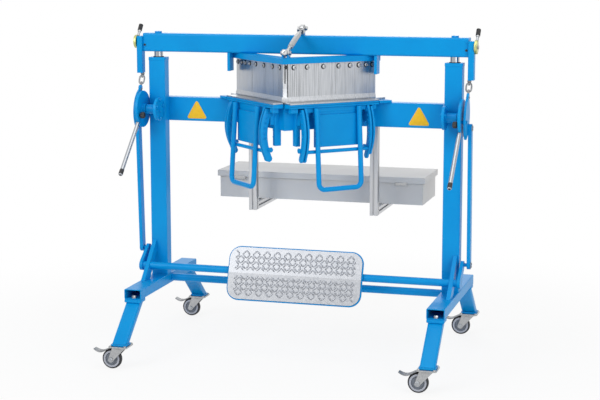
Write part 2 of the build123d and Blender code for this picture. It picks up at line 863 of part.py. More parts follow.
def build_dials():
    dial = across(upper_link_y, dial_z, dial_radius, dial_x, dial_x + dial_thickness)
    dial = chamfer(dial.edges(), 1.5)
    mid = dial_x + dial_thickness / 2
    reach = hypot(grip_back, grip_rise)
    tip = (mid, upper_link_y + grip_back, dial_z + grip_rise)
    ratio = (dial_radius - 4) / reach
    root = (mid, upper_link_y + grip_back * ratio, dial_z + grip_rise * ratio)
    dial += rod(root, tip, grip_rod_radius)
    both_sides("dial", dial)
    grip_end = 1.5
    grip_start = (mid, tip[1] - grip_back * 0.28, tip[2] - grip_rise * 0.28)
    end = (mid, upper_link_y + grip_back * 1.12, dial_z + grip_rise * 1.12)
    grip = rod(grip_start, end, grip_radius)
    grip = fillet(grip.edges(), grip_end)
    grip -= rod(root, tip, grip_rod_radius + running_clearance)
    both_sides("grip", grip)


def build_treadle():
    rail = across(rail_y, rail_z, rail_radius, -arm_x, arm_x)
    arm = lobed_bar(
        (rail_y, rail_z),
        (link_bottom_y, link_bottom_z),
        arm_root_radius,
        arm_tip_radius,
        arm_x,
        arm_x + arm_thickness,
    )
    arm += across(link_bottom_y, link_bottom_z, link_pin_radius, arm_x, link_x + link_thickness + 3)
    rail += arm
    rail += mirrored(arm)
    top = Vector(treadle_top_y, treadle_top_z)
    bottom = Vector(treadle_bottom_y, treadle_bottom_z)
    slope = (top - bottom).normalized()
    normal = Vector(-slope.Y, slope.X)
    fold = (top + bottom) / 2 + normal * treadle_fold
    upper = (top - fold).normalized()
    lower = (bottom - fold).normalized()
    half = treadle_width / 2

    def sheet(near, far, grow):
        outline = [
            top + normal * near + upper * grow,
            fold + normal * near,
            bottom + normal * near + lower * grow,
            bottom + normal * far + lower * grow,
            fold + normal * far,
            top + normal * far + upper * grow,
        ]
        plate = side_plate([(p.X, p.Y) for p in outline], -half - grow, half + grow)
        trim = Plane(
            origin=(0, (top.X + bottom.X) / 2, (top.Y + bottom.Y) / 2),
            x_dir=(1, 0, 0),
            z_dir=(0, -normal.X, -normal.Y),
        )
        length = (top - bottom).length
        window = RectangleRounded(treadle_width + 2 * grow, length + 2 * grow, treadle_corner + grow)
        return plate & extrude(trim * window, amount=60, both=True)

    side = -1 if normal.X > 0 else 1
    plate = sheet(0, side * treadle_sheet, 0)
    tray = sheet(0, -side * treadle_tray, treadle_tray_edge)
    for x in (-half * 0.6, 0, half * 0.6):
        saddle = block((x - 20, x + 20), (rail_y - 40, rail_y), (rail_z - 14, rail_z + 14))
        saddle -= across(rail_y, rail_z, rail_radius, -half, half)
        cutter = sheet(20 * side, -side * treadle_tray, 40)
        tray += saddle - cutter
    nodes["treadle_rail"] = rail
    nodes["treadle_plate"] = plate
    nodes["treadle_tray"] = tray


def slotted_bar(length):
    """An aluminium profile along Z with a tee slot in each of its four sides."""
    section = Rectangle(profile, profile)
    section = fillet(section.vertices(), 1.5)
    inset = profile / 2 - profile_slot_depth / 2
    for turn in range(4):
        slot = Rot(0, 0, 90 * turn) * Pos(inset, 0) * Rectangle(profile_slot_depth, profile_slot)
        section -= slot
    return extrude(section, amount=length)


def build_rack():
    post = Pos(rack_x, rack_front + profile / 2, rack_bottom) * slotted_bar(rack_top - rack_bottom)
    nodes["rack_posts"] = pair(post)
    back = rack_front + profile
    arm = Pos(rack_x, back, rack_bottom + profile / 2) * Rot(-90, 0, 0) * slotted_bar(rack_arm_end - back)
    nodes["rack_arms"] = pair(arm)
    beam_back = column_depth / 2 + cross_beam_depth
    top = cross_beam_top - 20
    bracket = block(
        (rack_x - bracket_width / 2, rack_x + bracket_width / 2),
        (beam_back, rack_front),
        (top - bracket_height, top),
    )
    nodes["cross_beam"] += bracket
    nodes["cross_beam"] += mirrored(bracket)


def build_tool_box():
    body = block((-box_half, box_half), (box_front, box_back), (box_bottom, box_top))
    body -= block(
        (-box_half + box_sheet, box_half - box_sheet),
        (box_front + box_sheet, box_back - box_sheet),
        (box_bottom + box_sheet, box_top + 1),
    )
    knuckles = []
    for x in (-box_half * 0.75, box_half * 0.75):
        knuckle = across(hinge_y, hinge_z, hinge_radius, x - 30, x - 2)
        knuckle += block((x - 30, x - 2), (box_back, hinge_y + hinge_radius), (box_top - 25, hinge_z))
        knuckle -= across(hinge_y, hinge_z, hinge_radius / 2 + running_clearance, x - 8, x)
        knuckles.append(knuckle)
    for knuckle in knuckles:
        body += knuckle
    nodes["tool_box"] = body

    over = lid_overhang
    low = box_top - lid_lap
    lid = block((-box_half - over, box_half + over), (box_front - over, hinge_y), (low, low + lid_height))
    lid -= block(
        (-box_half - over + box_sheet, box_half + over - box_sheet),
        (box_front - over + box_sheet, hinge_y + 50),
        (low - 1, low + lid_height - box_sheet),
    )
    for x in (-box_half * 0.75, box_half * 0.75):
        wrap = across(hinge_y, hinge_z, hinge_radius, x + 0.5, x + 26)
        wrap += block((x + 0.5, x + 26), (hinge_y - 3, hinge_y), (hinge_z, low + lid_height - 1))
        wrap += across(hinge_y, hinge_z, hinge_radius / 2, x - 6, x + 2)
        lid += wrap
    for side in (-1, 1):
        x = side * latch_x
        latch = block(
            (x - latch_width / 2, x + latch_width / 2),
            (box_front - over, box_front - over + box_sheet),
            (low - latch_height, low + 4),
        )
        lid += latch
    nodes["box_lid"] = lid


build_stand()
build_bearings()
build_braces()
build_casters()
build_top_beam()
build_clamp_head()
build_tie_rod()
build_table()
build_wings()
build_side_linkage()
build_dials()
build_treadle()
build_rack()
build_tool_box()

# The origin goes to the middle of the footprint, on the floor
lows = [shape.bounding_box().min for shape in nodes.values()]
highs = [shape.bounding_box().max for shape in nodes.values()]
centre_x = (min(low.X for low in lows) + max(high.X for high in highs)) / 2
centre_y = (min(low.Y for low in lows) + max(high.Y for high in highs)) / 2
floor_z = min(low.Z for low in lows)

for name, shape in nodes.items():
    export_step(Pos(-centre_x, -centre_y, -floor_z) * shape, f"parts/{name}.step")

print("nodes", len(nodes), "origin", round(centre_x, 3), round(centre_y, 3), round(floor_z, 3))
for label, turn in (("crank", crank_turn), ("treadle", treadle_turn), ("link", link_turn)):
    print(label, "turn", round(turn, 3))
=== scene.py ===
# %% [markdown]
# # A corner folding machine for sheet metal
# This notebook dresses a measured model of a corner folding machine. The frame below brings every machined piece
# in its true place: what is added here is the finish of each surface, the soft and bulged forms of the wings, legs
# and casters, and the small parts that a fitter would add, such as screws, threads, tyres and raised tread bars.

# %% Load the measured frame
import json
import math

import bmesh
import bpy
import numpy as np
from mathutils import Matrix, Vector


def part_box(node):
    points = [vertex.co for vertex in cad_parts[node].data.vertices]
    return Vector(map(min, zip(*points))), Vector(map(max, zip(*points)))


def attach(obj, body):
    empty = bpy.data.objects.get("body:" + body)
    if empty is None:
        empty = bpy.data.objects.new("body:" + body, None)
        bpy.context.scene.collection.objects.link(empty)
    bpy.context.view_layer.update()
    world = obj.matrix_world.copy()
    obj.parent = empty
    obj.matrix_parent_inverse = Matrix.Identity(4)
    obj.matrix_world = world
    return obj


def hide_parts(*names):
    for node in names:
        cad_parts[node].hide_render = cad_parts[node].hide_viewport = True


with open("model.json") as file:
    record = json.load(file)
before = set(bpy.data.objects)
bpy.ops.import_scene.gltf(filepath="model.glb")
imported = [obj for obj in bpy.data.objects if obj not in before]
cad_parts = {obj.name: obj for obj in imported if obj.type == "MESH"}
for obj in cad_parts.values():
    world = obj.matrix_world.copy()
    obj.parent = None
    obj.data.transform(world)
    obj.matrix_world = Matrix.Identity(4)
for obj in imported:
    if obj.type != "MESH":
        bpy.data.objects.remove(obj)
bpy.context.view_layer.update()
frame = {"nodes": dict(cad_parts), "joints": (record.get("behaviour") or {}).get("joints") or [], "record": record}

mm = 0.001
pivot = {joint["name"]: np.array(joint.get("pos_m", (0, 0, 0))) / mm for joint in frame["joints"]}
corners = {name: np.array(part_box(name)) / mm for name in frame["nodes"]}
middle_x = (corners["column_left"][:, 0].mean() + corners["column_right"][:, 0].mean()) / 2
print("nodes", len(frame["nodes"]), "middle of the machine at x =", round(middle_x, 1), "mm")

# %% [markdown]
# ## Helpers for finishes
# A finish is a small tree of shader nodes. One function turns the hex colours of a paint card into the linear
# numbers that Blender mixes with, one adds a node together with its settings and links, and the others add the
# parts that every finish has: a cloudy colour, a relief and the shader at the end. Their sizes are in metres.

# %% Colour and node helpers
def linear(code):
    """An sRGB hex code as linear RGBA: each channel goes through the inverse of the sRGB curve."""
    channels = [int(code[i : i + 2], 16) / 255 for i in (1, 3, 5)]
    return tuple(c / 12.92 if c <= 0.04045 else ((c + 0.055) / 1.055) ** 2.4 for c in channels) + (1.0,)


def add(tree, kind, inputs=None, **settings):
    """Adds a node, with its settings, and with a value or a link for each named input."""
    node = tree.nodes.new("ShaderNode" + kind)
    for key, value in settings.items():
        setattr(node, key, value)
    for key, value in (inputs or {}).items():
        if isinstance(value, bpy.types.NodeSocket):
            tree.links.new(value, node.inputs[key])
        else:
            node.inputs[key].default_value = value
    return node


def start(name):
    """A new material, its empty node tree and the Object coordinates that its patterns read."""
    material = bpy.data.materials.new(name)
    material.use_nodes = True
    tree = material.node_tree
    tree.nodes.clear()
    return material, tree, add(tree, "TexCoord").outputs["Object"]


def noise(tree, place, size, detail):
    """A cloud noise whose features have the given size."""
    return add(tree, "TexNoise", {"Vector": place, "Scale": 1 / size, "Detail": detail}).outputs["Fac"]


def ramp(tree, factor, low, dark, high, light):
    """A colour that goes from dark at the low factor to light at the high one."""
    node = add(tree, "ValToRGB", {"Fac": factor})
    for element, position, code in zip(node.color_ramp.elements, (low, high), (dark, light)):
        element.position = position
        element.color = linear(code)
    return node.outputs["Color"]


def bumped(tree, height, strength, depth, edge=None):
    """The normal of a relief; with an edge, a Bevel node also rounds the light on hard edges by that radius."""
    inputs = {"Height": height, "Strength": strength, "Distance": depth}
    if edge:
        inputs["Normal"] = add(tree, "Bevel", {"Radius": edge}, samples=4).outputs["Normal"]
    return add(tree, "Bump", inputs).outputs["Normal"]


def principled(tree, colour, roughness, normal, **others):
    """Ends a tree with a Principled shader."""
    inputs = {"Base Color": colour, "Roughness": roughness, "Normal": normal}
    inputs.update({key.replace("_", " "): value for key, value in others.items()})
    shader = add(tree, "BsdfPrincipled", inputs)
    add(tree, "OutputMaterial", {"Surface": shader.outputs["BSDF"]})


print("helpers ready, mid grey becomes", round(linear("#808080")[0], 3))

# %% [markdown]
# ## Sky-blue enamel
# The stand, beams, table and wings are welded steel with a stoved enamel: a saturated sky blue, glossy, with the
# faint waviness that sprayers call orange peel. The waves of the real coat are 2 to 3 mm long, which is under a pixel
# here, so they are drawn 6 mm long. A Bevel node rounds the light on hard edges by the thickness of a grinder's pass.

# %% Enamel and powder coats
def stoved_enamel(name, light, dark, roughness, peel=6 * mm, relief=0.05):
    """Paint on steel: two close shades clouded over 150 mm, a clear gloss and a shallow orange peel."""
    material, tree, place = start(name)
    colour = ramp(tree, noise(tree, place, 0.15, 3.0), 0.3, dark, 0.7, light)
    normal = bumped(tree, noise(tree, place, peel, 1.0), relief, 0.4 * mm, 2.5 * mm)
    principled(tree, colour, roughness, normal, Specular_IOR_Level=0.16)
    return material


sky_enamel = stoved_enamel("sky_blue_stoved_enamel", "#0099df", "#0091d8", 0.34)
grey_coat = stoved_enamel("light_grey_powder_coat", "#dcdcdb", "#d6d5d4", 0.5, 4 * mm, 0.08)
print("coats:", sky_enamel.name, grey_coat.name)

# %% [markdown]
# ## Bare metals
# The blades and table strips are ground tool steel: the wheel leaves fine scratches that run one way and blur the
# reflection across them. Zinc plate on screws and forks is paler and softer, with a spangle of a few millimetres.
# The rack and the tread plate are aluminium; the plate's raised bars are drawn darker than the plate, and the pedals
# and turnbuckles are dull zinc. All are the same recipe with another colour, grain and roughness.

# %% Metal recipes
def bare_metal(name, light, dark, roughness, grain, relief):
    """A metal whose shade, gloss and relief follow one noise, stretched along the axes by grain in millimetres."""
    material, tree, place = start(name)
    scale = tuple(1 / (size * mm) for size in grain)
    stretched = add(tree, "Mapping", {"Vector": place, "Scale": scale}).outputs["Vector"]
    lines = noise(tree, stretched, 1.0, 4.0)
    colour = ramp(tree, lines, 0.3, dark, 0.7, light)
    gloss = add(tree, "MapRange", {"Value": lines, "To Min": roughness - 0.06, "To Max": roughness + 0.08})
    normal = bumped(tree, lines, relief, 0.2 * mm, 0.8 * mm)
    principled(tree, colour, gloss.outputs["Result"], normal, Metallic=1.0)
    return material


blade_steel = bare_metal("ground_tool_steel", "#c4c6c9", "#a9acb0", 0.3, (3, 3, 90), 0.25)
bright_zinc = bare_metal("bright_zinc_plate", "#bdbebf", "#a2a4a6", 0.32, (5, 5, 5), 0.12)
chrome_bar = bare_metal("polished_steel_bar", "#b4b7bb", "#9ea2a7", 0.16, (2, 2, 60), 0.05)
mill_aluminium = bare_metal("anodised_aluminium", "#cfd0d2", "#bdbfc2", 0.36, (2, 40, 120), 0.1)
tread_aluminium = bare_metal("rolled_tread_aluminium", "#b0b2b6", "#9da0a5", 0.42, (14, 14, 14), 0.1)
# The raised bars are a darker grey than the plate.
darker_tread = bare_metal("darker_tread_bars", "#9a9da3", "#8b8e94", 0.3, (6, 6, 6), 0.1)
dull_zinc = bare_metal("dull_zinc_plate", "#8b8d90", "#75777a", 0.42, (6, 6, 6), 0.12)
yellow_zinc = bare_metal("yellow_passivated_zinc", "#cfcc8a", "#b2b87c", 0.3, (9, 9, 9), 0.1)
# Black oxide is the real finish of the black screws and snap rings; the same material also paints shade in the blade
# seams, slits and screw counterbores.
black_oxide_and_shade = bare_metal("black_oxide_steel_and_painted_shade", "#4a4c4f", "#3a3c3f", 0.38, (4, 4, 4), 0.1)
print("metals:", blade_steel.name, bright_zinc.name, mill_aluminium.name)

# %% [markdown]
# ## Plastic, rubber and film
# Grips and knobs are moulded black plastic with a fine spark-eroded grain. The tyres are grey-black rubber, the wheel
# centres nylon, and the plain yellow triangles are self-adhesive film. None of them is metallic, so colour,
# roughness and a small grain are all that they need.

# %% Plastics
def moulded(name, light, dark, roughness, grain, relief=0.15):
    """A plastic or rubber with a mottled shade and a grain of one size in metres."""
    material, tree, place = start(name)
    mottle = noise(tree, place, grain, 3.0)
    colour = ramp(tree, mottle, 0.35, dark, 0.65, light)
    principled(tree, colour, roughness, bumped(tree, mottle, relief, 0.2 * mm))
    return material


black_plastic = moulded("moulded_black_plastic", "#2a2a2c", "#1d1d1f", 0.42, 1.5 * mm)
tyre_rubber = moulded("black_tyre_rubber", "#2b2c2f", "#202124", 0.6, 2 * mm)
rim_nylon = moulded("grey_nylon_rim", "#7b828d", "#6d747f", 0.45, 3 * mm)
band_nylon = moulded("light_nylon_band", "#b6bac4", "#a9adb8", 0.45, 3 * mm)
yellow_film = moulded("yellow_film", "#f6c515", "#efbb0c", 0.4, 20 * mm, 0.02)
print("plastics:", black_plastic.name, tyre_rubber.name, rim_nylon.name)

# %% [markdown]
# ## Put a finish on every machined piece
# The record names a material slot for each piece. A table turns the slot into the finish made above, and a few
# pieces that share a slot but look different get their own.

# %% Finish by slot
finish = {
    "blue_paint": sky_enamel,
    "ground_steel": blade_steel,
    "zinc": bright_zinc,
    "aluminium": mill_aluminium,
    "rubber": tyre_rubber,
    "black_plastic": black_plastic,
    "grey_sheet": grey_coat,
    "brass_zinc": yellow_zinc,
}
own_finish = {
    "lever_left": chrome_bar,
    "lever_right": chrome_bar,
    "guide_posts": chrome_bar,
    "treadle_plate": tread_aluminium,
}
for part in frame["record"]["subparts"]:
    node = frame["nodes"][part["node"]]
    material = own_finish.get(part["node"], finish[part["material_slot"]])
    if not node.material_slots:
        node.data.materials.append(material)
    for material_slot in node.material_slots:
        material_slot.material = material

# %% [markdown]
# ## Surfaces from arrays
# Each added piece is a surface of two parameters, in millimetres: rows run along a profile, columns run round it.
# Whole grids are computed at once with numpy. One function turns any number of equal grids into one mesh in metres,
# closes its seams and poles by merging points that coincide, and marks edges over 35 degrees as sharp.

# %% Grid to mesh
up_way = np.array((0.0, 0.0, 1.0))


def surface(name, grids, body, material, stands_for=(), wrap=True):
    """Points of shape (copies, rows, columns, 3) become quads between neighbouring rows and columns."""
    grids = np.asarray(grids, float) * mm
    if grids.ndim == 3:
        grids = grids[None]
    index = np.arange(grids[..., 0].size).reshape(grids.shape[:3])
    after = np.roll(index, -1, axis=2) if wrap else index[:, :, 1:]
    here = index if wrap else index[:, :, :-1]
    quads = np.stack([here[:, :-1], after[:, :-1], after[:, 1:], here[:, 1:]], axis=-1).reshape(-1, 4)
    mesh = bpy.data.meshes.new(name)
    mesh.from_pydata(grids.reshape(-1, 3).tolist(), [], quads.tolist())
    work = bmesh.new()
    work.from_mesh(mesh)
    bmesh.ops.remove_doubles(work, verts=work.verts, dist=1e-6)
    bmesh.ops.dissolve_degenerate(work, edges=work.edges, dist=1e-7)
    bmesh.ops.recalc_face_normals(work, faces=work.faces)
    work.to_mesh(mesh)
    work.free()
    mesh.shade_smooth()
    mesh.set_sharp_from_angle(angle=math.radians(35))
    mesh.materials.append(material)
    piece = bpy.data.objects.new(name, mesh)
    bpy.context.scene.collection.objects.link(piece)
    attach(piece, body)
    if stands_for:
        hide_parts(*stands_for)
    print(name, "faces", len(mesh.polygons), "on", body)


def painted(name, grids, body, *stands_for):
    """A piece in blue enamel."""
    surface(name, grids, body, sky_enamel, stands_for)


def plated(name, grids, body, *stands_for, metal=bright_zinc):
    """A piece of plated or polished steel."""
    surface(name, grids, body, metal, stands_for)


def across(axis):
    """An axis as a unit vector, and two unit vectors square to it and to each other."""
    axis = np.asarray(axis, float) / np.linalg.norm(axis)
    helper = up_way if abs(axis[2]) < 0.9 else np.array((1.0, 0.0, 0.0))
    first = np.cross(helper, axis)
    first /= np.linalg.norm(first)
    return axis, first, np.cross(axis, first)


def circle(columns):
    """Evenly spaced angles round a full turn, as one row."""
    return np.linspace(0, 2 * np.pi, columns, endpoint=False)[None, :]


def turned(profile, centre, axis, columns=36, sides=6):
    """Rings round an axis. A profile row is (radius, height, flats): with flats 0 the ring is a circle, and with
    flats 1 a polygon whose apothem is the radius, because the radius is divided by the cosine of the angle
    to the nearest flat."""
    radius, height, flats = (np.array(values, float)[:, None] for values in zip(*profile))
    axis, first, second = across(axis)
    angle = circle(columns)
    wedge = 2 * np.pi / sides
    to_flat = np.mod(angle, wedge) - wedge / 2
    reach = radius * (1 - flats + flats / np.cos(to_flat))
    flat_ring = reach[..., None] * (np.cos(angle)[..., None] * first + np.sin(angle)[..., None] * second)
    return np.asarray(centre, float) + flat_ring + height[..., None] * axis


def copies(grid, places):
    """The same grid moved to each of several places."""
    return np.asarray(grid)[None] + np.asarray(places, float)[:, None, None, :]


def hex_head(flat, height):
    """A bolt head: a round face, a chamfer down to the six flats, and the flats down to the seat."""
    half = flat / 2
    return [(0, height, 0), (half * 0.9, height, 0), (half, height * 0.82, 1), (half, 0, 1), (0, 0, 0)]


def cap_head(radius, height, socket):
    """A socket screw head: a six-sided recess, a flat rim with a small round and a plain side."""
    edge = radius * 0.12
    floor = height * 0.35
    recess = [(0, floor, 0), (socket, floor, 1), (socket, height, 1)]
    rim = [(radius - edge, height, 0), (radius - edge * 0.3, height - edge * 0.3, 0), (radius, height - edge, 0)]
    return recess + rim + [(radius, 0, 0), (0, 0, 0)]


def hex_nut(flat, height, bore):
    """A nut or collar: a closed ring from its bore out to six chamfered flats and back."""
    half = flat / 2
    low = [(bore, 0, 0), (half * 0.94, 0, 0), (half, height * 0.12, 1)]
    high = [(half, height * 0.88, 1), (half * 0.94, height, 0), (bore, height, 0)]
    return low + high + [(bore, 0, 0)]


def ring(inner, outer, height, edge=0.4):
    """A flat ring with small chamfers on its outer edges; with an inner radius of 0 it is a disc."""
    low = [(inner, 0, 0), (outer - edge, 0, 0), (outer, edge, 0)]
    high = [(outer, height - edge, 0), (outer - edge, height, 0), (inner, height, 0)]
    return low + high + [(inner, 0, 0)]


print("a bolt head has", turned(hex_head(10, 6), (0, 0, 0), up_way, 12).shape, "points")

# %% [markdown]
# ## Plain yellow triangles
# Two triangles of yellow film, 99 mm wide, sit on the front of the cross beam. Each is a round-cornered outline
# shrunk towards its middle: the rows are the back edge, the front edge, a small round and the centre.

# %% Yellow triangles
film_side = 99
film_radius = 7
film_thickness = 0.6
film_drop = 14
film_places = {"film_triangle_left": -505, "film_triangle_right": 517}


def triangle_outline(side, radius, steps=8):
    """Three corner arcs: arc points stand one corner radius from centres on a smaller triangle."""
    inner = side / math.sqrt(3) - 2 * radius
    corner = np.repeat(np.radians((90, 210, 330)), steps)
    sweep = np.tile(np.linspace(-np.pi / 3, np.pi / 3, steps), 3)
    x = inner * np.cos(corner) + radius * np.cos(corner + sweep)
    z = inner * np.sin(corner) + radius * np.sin(corner + sweep)
    return x, z


beam_low, beam_high = corners["cross_beam"]
film_z = (beam_low[2] + beam_high[2]) / 2 - film_drop
for name, offset in film_places.items():
    x, z = triangle_outline(film_side, film_radius)
    shrink = np.array((0, 0.985, 1, 1, 0))[:, None]
    depth = np.array((1, 1, 0.6, 0, 0))[:, None] * film_thickness
    parts = [middle_x + offset + shrink * x, beam_low[1] - depth + 0 * x, film_z + shrink * z]
    surface(name, np.stack(parts, axis=-1), "stand", yellow_film)

# %% [markdown]
# ## Raised bars of the tread plate
# Tread plate is rolled with pairs of raised bars that alternate between the two diagonals on a square lattice.
# The plate here is folded once, so a bar is a low dome in flat plate coordinates, along the width and up the plate,
# which are then carried onto the two facets.

# %% Tread plate
lattice = 24
bar_length = 27
bar_width = 7
bar_rise = 2
pair_gap = 2.5
plate_margin = 10
plate_corner = 50
plate_front = 5
fold_depth = 5
fold_margin = 1
treadle = pivot["treadle_rock"]
plate_top = treadle[1:] + (12, 105)
plate_bottom = treadle[1:] + (-64, -115)
plate_half = (corners["treadle_plate"][1, 0] - corners["treadle_plate"][0, 0]) / 2
chord = plate_top - plate_bottom
plate_half_height = np.linalg.norm(chord) / 2
rise = chord / np.linalg.norm(chord)
outwards = np.array((-rise[1], rise[0]))
fold = (plate_top + plate_bottom) / 2 + outwards * (plate_front + fold_depth)


def on_plate(x, up, height):
    """A point of the folded plate: up runs along the upper facet where it is positive, and along the lower one
    where it is negative, and height stands square to that facet."""
    bend = math.atan2(fold_depth, plate_half_height)
    tilt = np.where(up > 0, -bend, bend)
    along_y = rise[0] * np.cos(tilt) - rise[1] * np.sin(tilt)
    along_z = rise[0] * np.sin(tilt) + rise[1] * np.cos(tilt)
    y = fold[0] + up * along_y - height * along_z
    z = fold[1] + up * along_z + height * along_y
    return np.stack([middle_x + x, y, z], axis=-1)


def tread_bars():
    """Each bar is a dome whose height falls as the square root of one minus the distance to its rim squared."""
    count_x = int((plate_half - plate_margin) / lattice)
    count_up = int((plate_half_height - plate_margin) / lattice) + 1
    places = (np.arange(-count_x, count_x + 1), np.arange(-count_up, count_up + 1), (-1, 1))
    i, j, k = (values.ravel() for values in np.meshgrid(*places, indexing="ij"))
    turn = np.where((i + j) % 2 == 0, np.pi / 4, -np.pi / 4)
    x = i * lattice - np.sin(turn) * k * (pair_gap + bar_width) / 2
    up = j * lattice + np.cos(turn) * k * (pair_gap + bar_width) / 2
    reach = bar_length / 2 * math.sqrt(0.5)
    inner_x = plate_half - plate_margin - reach
    inner_up = plate_half_height - plate_margin - reach
    corner_x = np.maximum(np.abs(x) - (plate_half - plate_corner), 0)
    corner_up = np.maximum(np.abs(up) - (plate_half_height - plate_corner), 0)
    in_corner = np.hypot(corner_x, corner_up) < plate_corner - plate_margin / 2 - reach
    off_fold = np.abs(up) > reach + fold_margin
    keep = (np.abs(x) < inner_x) & (np.abs(up) < inner_up) & in_corner & off_fold
    x, up, turn = (values[keep][:, None, None] for values in (x, up, turn))
    angle = circle(12)[None]
    level = np.array((0.0, 0.45, 0.8, 1.0))[None, :, None]
    along = level * np.cos(angle) * bar_length / 2
    aside = level * np.sin(angle) * bar_width / 2
    height = np.sqrt(np.clip(1 - level**2, 0, 1)) * bar_rise + 0 * angle
    cosine, sine = np.cos(turn), np.sin(turn)
    return on_plate(x + along * cosine - aside * sine, up + along * sine + aside * cosine, height + 0 * cosine)


surface("tread_bars", tread_bars(), "treadle", darker_tread)

# %% [markdown]
# ## Places along the arms
# The table is a vee whose two bend lines start at the front corner and run back at 45 degrees. Most small parts
# are easier to place in an arm's own frame: along the bend line, out from it, and up.

# %% Frame of an arm
root_half = math.sqrt(0.5)
sides = {"left": -1, "right": 1}
bend_corner = pivot["wing_fold_right"]


def arm_point(side, along, out, height):
    """Along and out are turned by 45 degrees about the corner: x is half their sum and y half their difference,
    times the root of two, and height counts from the bend line."""
    x = middle_x + side * (along + out) * root_half
    y = bend_corner[1] + (along - out) * root_half
    z = bend_corner[2] + height
    return np.stack(np.broadcast_arrays(x, y, z), axis=-1)


def arm_axes(side):
    """Unit vectors along the bend line and outwards from it."""
    return np.array((side * root_half, root_half, 0)), np.array((side * root_half, -root_half, 0))


print("the corner of the bend lines is at", bend_corner.round(1))

# %% [markdown]
# ## Wings, crescent plates and handles
# A wing is a thick bar along the bend line. Under it hang a panel, set back by a web, and two crescent plates. Each
# crescent rides beside a fixed twin on the table, and the pair guides the wing while it turns. A U-shaped handle of
# round bar is welded to the wing, with a cross bar that reaches both crescents. The frame holds these as plain
# forms: here every plate gets its bulge, its round tip and the soft edges that paint leaves.

# %% Rounded sections
def sections(half_a, half_b, radius, steps=4):
    """Rounded rectangles, one a row: corner centres stand in by the radius and each corner is a quarter circle.
    The half sizes and the radius may be arrays, so a section can shrink to a point at an end."""
    sizes = np.broadcast_arrays(half_a, half_b, radius)
    half_a, half_b, radius = (np.asarray(values, float)[:, None] for values in sizes)
    radius = np.minimum(radius, np.minimum(half_a, half_b))
    quarter = np.linspace(0, np.pi / 2, steps)
    angle = np.concatenate([quarter + turn * np.pi / 2 for turn in range(4)])[None]
    sign_a = np.repeat((1, -1, -1, 1), steps)[None]
    sign_b = np.repeat((1, 1, -1, -1), steps)[None]
    a = sign_a * (half_a - radius) + radius * np.cos(angle)
    b = sign_b * (half_b - radius) + radius * np.sin(angle)
    return a, b


def box_rows(half_a, half_b, depth, edge):
    """Half sizes and places of six rows that make a box with eased ends: a point, the face, the wall, the face and
    a point."""
    inset = np.array((0, edge, 0, 0, edge, 0))
    wide = np.array((0, 1, 1, 1, 1, 0))
    at = np.array((0, 0, edge, depth - edge, depth, depth))
    return wide * (half_a - inset), wide * (half_b - inset), at


def arm_plate(side, along, out, height, edge=1.5):
    """A plate between two values on each of an arm's axes, with rounded edges all round."""
    half_along, half_high = (along[1] - along[0]) / 2, (height[1] - height[0]) / 2
    half_along, half_high, at = box_rows(half_along, half_high, out[1] - out[0], edge)
    a, b = sections(half_along, half_high, edge)
    return arm_point(side, np.mean(along) + a, out[0] + at[:, None] + 0 * a, np.mean(height) + b)


def crescent(side, along, top, tip, root, width, bulge, tip_width, rows=28):
    """A crescent plate: both edges bulge out by a parabola, one less the square of the share of the height, and the
    tip is a half circle, whose half width is the cosine of an angle whose sine is the drop."""
    share = np.linspace(-1, 1, rows)
    height = (top + tip) / 2 - share * (top - tip) / 2
    bow = bulge * (1 - share**2)
    inner = root + (width - tip_width) * (share + 1) / 2 + bow
    outer = root + width + bow
    turn = np.linspace(0.15, np.pi / 2, 7)
    tip_middle = (inner[-1] + outer[-1]) / 2
    tip_half = (outer[-1] - inner[-1]) / 2
    middle = np.concatenate([(inner + outer)[:1] / 2, (inner + outer) / 2, np.full(7, tip_middle)])
    half = np.concatenate([[0], (outer - inner) / 2, tip_half * np.cos(turn)])
    height = np.concatenate([height[:1], height, tip - tip_half * np.sin(turn)])
    thick = np.full(half.shape, (along[1] - along[0]) / 2)
    thick[[0, -1]] = 0
    a, b = sections(thick, half, 3)
    return arm_point(side, np.mean(along) + a, middle[:, None] + b, height[:, None] + 0 * a)


wing_clearance = 1
strip_height = 6
bar_height = 17
bar_out = 50
bar_along = (3, 444)
bar_top = -wing_clearance - strip_height
bar_bottom = bar_top - bar_height
groove = 2.5
groove_depth = 2
under_out = (18, 43)
under_bottom = -44
under_along = ((12, 46), (84, 381), (411, 434))
table_face = -4
guide_top = bar_bottom - 5
cheek_shape = dict(root=18, width=36, bulge=26, tip_width=30)
cheek_tip = -242
outer_guide_tip = -226
guide_along = ((57.25, 67.25), (397.75, 407.75))
wing_along = ((72.75, 82.75), (382.25, 392.25))
root_out = (table_face, 34)
root_height = (guide_top - 70, guide_top)
block_along = (50, 71)
block_out = (table_face - 10, 16)
block_height = (-189, guide_top)
stud_out = 36
stud_drop = -205
pin_drop = -60
panel_along = (122, 340)
panel_out = (40, 48)
panel_height = (-193, bar_bottom - 31)
web_out = (29.5, 41.5)
web_height = (panel_height[1] - 12, bar_bottom)


def grooved_bar(side, ease=1.2):
    """The section of the bar, as out and height, runs round a rectangle and dips into a groove at mid height; rows
    carry it along the bend line and close it at both ends."""
    middle = (bar_top + bar_bottom) / 2
    front = [(bar_out - ease, bar_top), (bar_out, bar_top - ease), (bar_out, middle + groove / 2)]
    dip = [(bar_out - groove_depth, middle + groove / 2), (bar_out - groove_depth, middle - groove / 2)]
    foot = [(bar_out, middle - groove / 2), (bar_out, bar_bottom + ease), (bar_out - ease, bar_bottom)]
    section = [(wing_clearance, bar_top), *front, *dip, *foot, (wing_clearance, bar_bottom)]
    out, height = np.array(section).T
    centre_out = (wing_clearance + bar_out) / 2
    size = np.array((0, 1, 1, 0))[:, None]
    along = np.repeat(bar_along, 2)[:, None] + 0 * out
    return arm_point(side, along, centre_out + (out - centre_out) * size, middle + (height - middle) * size)


